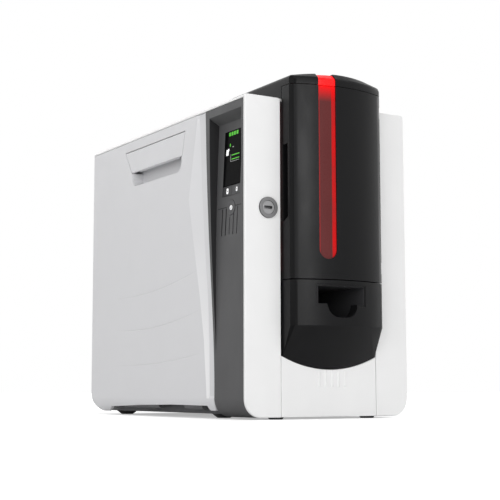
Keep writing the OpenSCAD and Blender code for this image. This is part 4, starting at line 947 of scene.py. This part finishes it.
@dataclass
class Mouldings:
    """The outer mouldings and metal parts that get their edge radii."""

    shells: Tuple[EdgedShell, ...] = (
        EdgedShell("front_frame", "frame", "white_shell"),
        EdgedShell("casing", "frame", "white_shell"),
        EdgedShell("reject_tray", "tray", "white_shell", 0.4 * MM),
        EdgedShell("output_hopper", "frame", "module_black", 0.4 * MM, angle=22.0),
        EdgedShell("feeder_door", "front_door", "module_black", 0.4 * MM, angle=22.0),
        EdgedShell("lid", "top_lid", "module_black", 0.4 * MM, angle=22.0),
        EdgedShell("control_fascia", "frame", "strip_grey", 0.3 * MM),
        EdgedShell("door_handle", "handle", "door_grey", 0.4 * MM),
        EdgedShell("lock_housing", "frame", "lock_metal", 0.3 * MM),
        EdgedShell("lock_barrel", "lock", "lock_metal", 0.25 * MM),
        EdgedShell("menu_key_left", "left_key", "key_grey", 0.25 * MM),
        EdgedShell("menu_key_right", "right_key", "key_grey", 0.25 * MM),
        EdgedShell("power_button", "power_key", "strip_grey", 0.3 * MM),
        EdgedShell("rear_panel", "frame", "panel_grey", 0.3 * MM),
        EdgedShell("feet", "frame", "rubber", 0.4 * MM),
    )
    # Half width, depths and heights of the card bay's walls
    bay_half: float = 32 * MM
    bay_depths: Span = (-189.9 * MM, -101.6 * MM)
    bay_heights: Span = (101.9 * MM, 139.2 * MM)
    # Where the feeder's corners start, and the X of a slanting face's normal
    corner: float = 50 * MM
    slant: Span = (0.42, 0.92)
    # The place that the rear wall of the strip's well lies above, left of and behind
    well_wall: Point = (-88 * MM, -125 * MM, 66 * MM)
    # Distances before the well's floor of a key cap's underside, in mm, and its play
    underside: Span = (-1.2, -1.0)
    cap_play: float = 0.05 * MM

    def in_bay(self, middle: Vector, _normal: Vector) -> bool:
        """Says whether a face lies on the walls of the card bay."""
        (front, back), (low, high) = self.bay_depths, self.bay_heights
        return abs(middle.x) < self.bay_half and front < middle.y < back and low < middle.z < high

    def on_chamfer(self, middle: Vector, normal: Vector) -> bool:
        """Says whether a face is on the slanting front corners of the feeder."""
        slanting = self.slant[0] < abs(normal.x) < self.slant[1]
        return abs(middle.x) > self.corner and slanting and normal.y < -0.3

    def on_well_side(self, middle: Vector, normal: Vector) -> bool:
        """Says whether a face is on the deep rear wall of the strip's well."""
        x, y, z = self.well_wall
        return middle.z > z and middle.x < x and normal.y < -0.7 and middle.y > y

    def thin_cap(self, piece: bpy.types.Object) -> None:
        """Draws a key cap's underside in a little, so that a pressed key clears its recess.

        Args:
            piece: The key.
        """
        slope = Slope()
        low, high = self.underside
        for vertex in piece.data.vertices:
            if low < slope.out_of(vertex.co) < high:
                vertex.co.x -= self.cap_play * math.cos(slope.tilt)
                vertex.co.z += self.cap_play * math.sin(slope.tilt)

    def build(self, palette: Palette) -> None:
        """Builds each moulding.

        Args:
            palette: The finishes.
        """
        made = {shell.node: shell.build(palette) for shell in self.shells}
        # painted light: the card bay's walls are painted lighter than the black moulding
        palette.detail(made["output_hopper"], "bay_painted_light", self.in_bay)
        for name in ("output_hopper", "feeder_door", "lid"):
            # painted shade: the slanting front corners are painted darker than their moulding
            palette.detail(made[name], "chamfer_painted_shade", self.on_chamfer)
        # painted shade: the deep rear wall of the strip's well is painted darker than the strip
        palette.detail(made["control_fascia"], "well_painted_shade", self.on_well_side)
        palette.detail(made["lock_barrel"], "lock_face", lambda _middle, _normal: True)
        # painted shade: the lock housing's sides are painted near black, a dark ring of shade round the
        # lock
        palette.detail(made["lock_housing"], "seam_and_shade_dark", lambda _middle, normal: abs(normal.y) < 0.8)
        for name in ("menu_key_left", "menu_key_right"):
            self.thin_cap(made[name])


@dataclass
class ServiceDoor:
    """The grey side door with its sloped front facet, painted lighter as a highlight, and generic pressed
    creases.
    """

    # Height of each band's end, and there the depths of the facet's inner and of its outer
    # boundary behind the front plate, in mm
    facet: Tuple[Point, ...] = (
        (3.0, 74.0, 77.9),
        (21.2, 74.1, 78.4),
        (24.0, 74.2, 78.7),
        (83.0, 75.5, 84.7),
        (128.0, 78.5, 93.6),
        (174.0, 84.5, 104.7),
        (238.0, 91.5, 119.9),
        (320.0, 97.0, 101.4),
        (331.0, 97.0, 99.0),
    )
    facet_depth: float = 1.5 * MM
    facet_end: float = 123 * MM
    # The facet's edges are marked, and its faces take the painted light finish, from these heights up
    edges_from: float = 21 * MM
    faces_from: float = 15 * MM
    least_fold: float = math.radians(0.8)
    # Depths of the hinge knuckles behind the front plate, in mm, and the X and Z that bound them
    knuckles: Tuple[Span, ...] = ((108.4, 130.1), (231.4, 264.6))
    knuckle_side: float = -100.4 * MM
    knuckle_top: float = 20 * MM

    def select_skin(self, piece: bpy.types.Object, low: float, high: float) -> None:
        """Selects the faces of the outer skin between two heights.

        Args:
            piece: The door, in edit mode.
            low: The lower height in metres.
            high: The upper one.
        """
        bpy.ops.mesh.select_all(action="DESELECT")
        mesh = bmesh.from_edit_mesh(piece.data)
        for face in mesh.faces:
            flat = all(vertex.co.x < SIDE + ON_SKIN for vertex in face.verts)
            if flat and low < face.calc_center_median().z < high:
                face.select = True
        bmesh.update_edit_mesh(piece.data)

    def cut(self, piece: bpy.types.Object) -> None:
        """Cuts the outer skin at each band's end and along both boundaries of the facet.

        Args:
            piece: The door.
        """
        take(piece)
        bpy.ops.object.mode_set(mode="EDIT")
        for row in self.facet[1:-1]:
            self.select_skin(piece, 0.0, 1.0)
            bpy.ops.mesh.bisect(plane_co=(0.0, 0.0, row[0] * MM), plane_no=(0.0, 0.0, 1.0))
        for low, high in zip(self.facet, self.facet[1:]):
            for column in (1, 2):
                across = Vector((0.0, high[0] - low[0], low[column] - high[column])).normalized()
                self.select_skin(piece, low[0] * MM, high[0] * MM)
                bpy.ops.mesh.bisect(
                    plane_co=(0.0, low[column] * MM + FRONT, low[0] * MM), plane_no=across
                )
        bpy.ops.object.mode_set(mode="OBJECT")

    def mark_facet(self, piece: bpy.types.Object) -> None:
        """Marks the edges of the facet sharp.

        Args:
            piece: The door.
        """
        take(piece)
        bpy.ops.object.mode_set(mode="EDIT")
        bpy.ops.mesh.select_mode(type="EDGE")
        bpy.ops.mesh.select_all(action="DESELECT")
        mesh = bmesh.from_edit_mesh(piece.data)
        for edge in mesh.edges:
            on_skin = all(face.normal.x < -0.9 for face in edge.link_faces)
            middle = (edge.verts[0].co + edge.verts[1].co) / 2
            near = middle.y < FRONT + self.facet_end and middle.z > self.edges_from
            if on_skin and near and len(edge.link_faces) == 2:
                if edge.calc_face_angle() > self.least_fold:
                    edge.select = True
        bmesh.update_edit_mesh(piece.data)
        bpy.ops.mesh.mark_sharp()
        bpy.ops.mesh.select_mode(type="VERT")
        bpy.ops.object.mode_set(mode="OBJECT")

    def sunk(self, y: float, z: float) -> float:
        """Gives how deep the outer skin lies at a place.

        Args:
            y: The place's Y in metres.
            z: Its Z in metres.

        Returns:
            The depth in metres.
        """
        seat, height = (y - FRONT) / MM, z / MM
        fade = clamp((height - self.facet[1][0]) / (self.facet[2][0] - self.facet[1][0]))
        bands = zip(self.facet, self.facet[1:])
        low, high = next((band for band in bands if height <= band[1][0]), self.facet[-2:])
        share = clamp((height - low[0]) / (high[0] - low[0]))
        inner, outer = (low[column] + (high[column] - low[column]) * share for column in (1, 2))
        return self.facet_depth * fade * clamp((outer - seat) / (outer - inner))

    def build(self, palette: Palette) -> None:
        """Builds and dresses the door.

        Args:
            palette: The finishes.
        """
        piece = copy_of("side_door", dissolve=False)
        self.cut(piece)
        for vertex in piece.data.vertices:
            if vertex.co.x < SIDE + ON_SKIN:
                vertex.co.x += self.sunk(vertex.co.y, vertex.co.z)
        smooth(piece, 25.0)
        self.mark_facet(piece)
        weigh_normals(piece)
        palette.paint(piece, "door_grey")
        piece.data.materials[0] = PressedDoor().material("finish_door_pressed")
        palette.detail(piece, "base_dark", self.on_knuckle)
        # painted highlight: the facet's faces are painted lighter than the rest of the door
        palette.detail(piece, "facet_painted_light", self.on_facet)
        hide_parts("side_door")
        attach(piece, "door")
        LOG.info("service door with %d faces", len(piece.data.polygons))

    def on_facet(self, middle: Vector, normal: Vector) -> bool:
        """Says whether a face belongs to the sloped front facet."""
        near = middle.y < FRONT + self.facet_end and middle.z > self.faces_from
        return near and middle.x < SIDE + self.facet_depth and normal.x < -0.9 and normal.y < -0.045

    def on_knuckle(self, middle: Vector, _normal: Vector) -> bool:
        """Says whether a face belongs to a hinge knuckle."""
        near = any(low <= (middle.y - FRONT) / MM <= high for low, high in self.knuckles)
        return near and middle.x > self.knuckle_side and middle.z < self.knuckle_top


# ---------------------------------------------------------------- small marks


@dataclass(frozen=True)
class Slope:
    """The sloping floor of the control strip's well, in the printer's frame."""

    foot: float = 66.0 * MM
    rise: float = 0.0504

    @property
    def tilt(self) -> float:
        """Gives the floor's lean in radians."""
        return math.atan(self.rise)

    def place(self, y: float, up: float, out: float) -> Point:
        """Gives the place of a point on the floor.

        Args:
            y: Depth behind the front plate, in mm.
            up: Height along the slope, in mm.
            out: Distance in front of the floor, in mm.

        Returns:
            The point in metres.
        """
        sine, cosine = math.sin(self.tilt), math.cos(self.tilt)
        return (
            SIDE + (up * sine - out * cosine) * MM,
            FRONT + y * MM,
            self.foot + (up * cosine + out * sine) * MM,
        )

    def out_of(self, point: Vector) -> float:
        """Gives how far a point stands in front of the floor, in mm."""
        along, up = point.x - SIDE, point.z - self.foot
        return (up * math.sin(self.tilt) - along * math.cos(self.tilt)) / MM


@dataclass(frozen=True)
class Mark:
    """A thin plate on the control strip, such as a lit sign of the display, in mm."""

    name: str
    y: float
    up: float
    width: float
    height: float
    finish: str
    body: str = "frame"
    out: float = 0.05
    radius: float = 0.25
    thick: float = 0.15

    def build(self, palette: Palette, slope: Slope) -> None:
        """Builds the mark.

        Args:
            palette: The finishes.
            slope: The floor that it lies on.
        """
        deselect()
        bpy.ops.mesh.primitive_cube_add(size=1.0, location=(0.0, 0.0, 0.0))
        piece = bpy.context.object
        piece.name = self.name
        piece.scale = (self.thick * MM, self.width * MM, self.height * MM)
        settle(piece)
        bpy.ops.object.mode_set(mode="EDIT")
        bpy.ops.mesh.select_all(action="DESELECT")
        bpy.ops.mesh.select_mode(type="EDGE")
        mesh = bmesh.from_edit_mesh(piece.data)
        for edge in mesh.edges:
            first, second = (vertex.co for vertex in edge.verts)
            if abs(first.x - second.x) > 0.5 * self.thick * MM:
                edge.select = True
        bmesh.update_edit_mesh(piece.data)
        bpy.ops.mesh.bevel(offset=self.radius * MM, segments=4, affect="EDGES")
        bpy.ops.mesh.select_mode(type="VERT")
        bpy.ops.object.mode_set(mode="OBJECT")
        piece.location = slope.place(self.y, self.up, self.out - self.thick / 2)
        piece.rotation_euler = (0.0, slope.tilt, 0.0)
        settle(piece)
        smooth(piece, 40.0)
        piece.data.materials.append(palette.made[self.finish])
        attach(piece, self.body)


@dataclass
class StripMarks:
    """The lit display signs, the key signs and power ring with a painted glow, and the panel line of the
    strip.
    """

    slope: Slope = Slope()
    # Depth, height and distance before the floor of the power sign's ring, in mm
    ring_spot: Point = (40.8, 153.9, 0.15)
    ring_size: float = 2.0 * MM
    ring_wire: float = 0.2

    def marks(self) -> List[Mark]:
        """Lists the plates of the strip, apart from the power sign's.

        Returns:
            The plates.
        """
        found = [
            Mark("level_%d" % number, 50.0 - 5.1 * number, 234.0, 3.7, 4.0, "mark_green")
            for number in range(4)
        ]
        found += [
            Mark("tick_sign", 48.4, 222.0, 1.8, 3.2, "mark_green"),
            Mark("dash_sign", 42.2, 219.4, 2.8, 0.9, "mark_grey", radius=0.2),
            Mark("card_sign_low", 53.6, 214.6, 4.6, 6.2, "mark_white"),
            Mark("card_sign_high", 51.4, 217.2, 2.4, 2.6, "mark_white"),
            Mark("line_upper", 36.8, 210.6, 16.0, 1.0, "mark_green"),
            Mark("line_lower", 36.8, 206.2, 16.0, 1.0, "mark_green"),
            Mark("bracket_side", 46.6, 207.8, 0.6, 8.2, "mark_grey", radius=0.15),
            Mark("bracket_low", 37.6, 203.9, 17.4, 0.5, "mark_grey", radius=0.15),
            Mark("panel_line_rear", 59.1, 155.2, 19.0, 0.6, "seam_and_shade_dark", radius=0.15),
            Mark("panel_line_front", 26.1, 155.2, 12.4, 0.6, "seam_and_shade_dark", radius=0.15),
        ]
        # painted glow: the key signs take the lit signs' glowing white
        for side, y, size in (("left", 50.6, 1.0), ("right", 31.6, 0.8)):
            name, body = side + "_sign", side + "_key"
            found += [
                Mark(name, y, 172.6, 3.8 * size, 6.0 * size, "mark_white", body, -0.2, 1.2),
                Mark(name + "_eye", y, 172.6, 1.5 * size, 1.7 * size, "seam_and_shade_dark", body, -0.14, 0.4),
            ]
        return found

    def ring(self, palette: Palette) -> None:
        """Adds the ring of the power sign on its button.

        Args:
            palette: The finishes.
        """
        deselect()
        place = self.slope.place(*self.ring_spot)
        bpy.ops.mesh.primitive_torus_add(
            location=place,
            rotation=(0.0, self.slope.tilt + math.pi / 2, 0.0),
            major_segments=32,
            minor_segments=8,
            major_radius=self.ring_size,
            minor_radius=self.ring_size * self.ring_wire,
        )
        piece = bpy.context.object
        piece.name = "power_ring"
        settle(piece)
        smooth(piece, 60.0)
        # painted glow: the power sign's ring takes the lit signs' glowing white
        piece.data.materials.append(palette.made["mark_white"])
        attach(piece, "power_key")

    def bar(self) -> Mark:
        """Gives the bar that stands in the ring."""
        y, up, out = self.ring_spot
        # painted glow: the power sign's bar takes the lit signs' glowing white
        return Mark("power_bar", y, up + 0.4, 0.6, 1.8, "mark_white", "power_key", out + 0.15, 0.15)

    def build(self, palette: Palette) -> None:
        """Builds every mark of the strip.

        Args:
            palette: The finishes.
        """
        for mark in self.marks() + [self.bar()]:
            mark.build(palette, self.slope)
        self.ring(palette)
        LOG.info("strip marks ready")


def main() -> None:
    """Builds the printer's looks and its studio, in order."""
    logging.basicConfig(level=logging.INFO, format="%(message)s")
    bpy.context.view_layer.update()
    deselect()
    palette = Palette()
    palette.dress_nodes()
    Studio().build()
    Mouldings().build(palette)
    ServiceDoor().build(palette)
    StripMarks().build(palette)
    deselect()


if __name__ == "__main__":
    main()
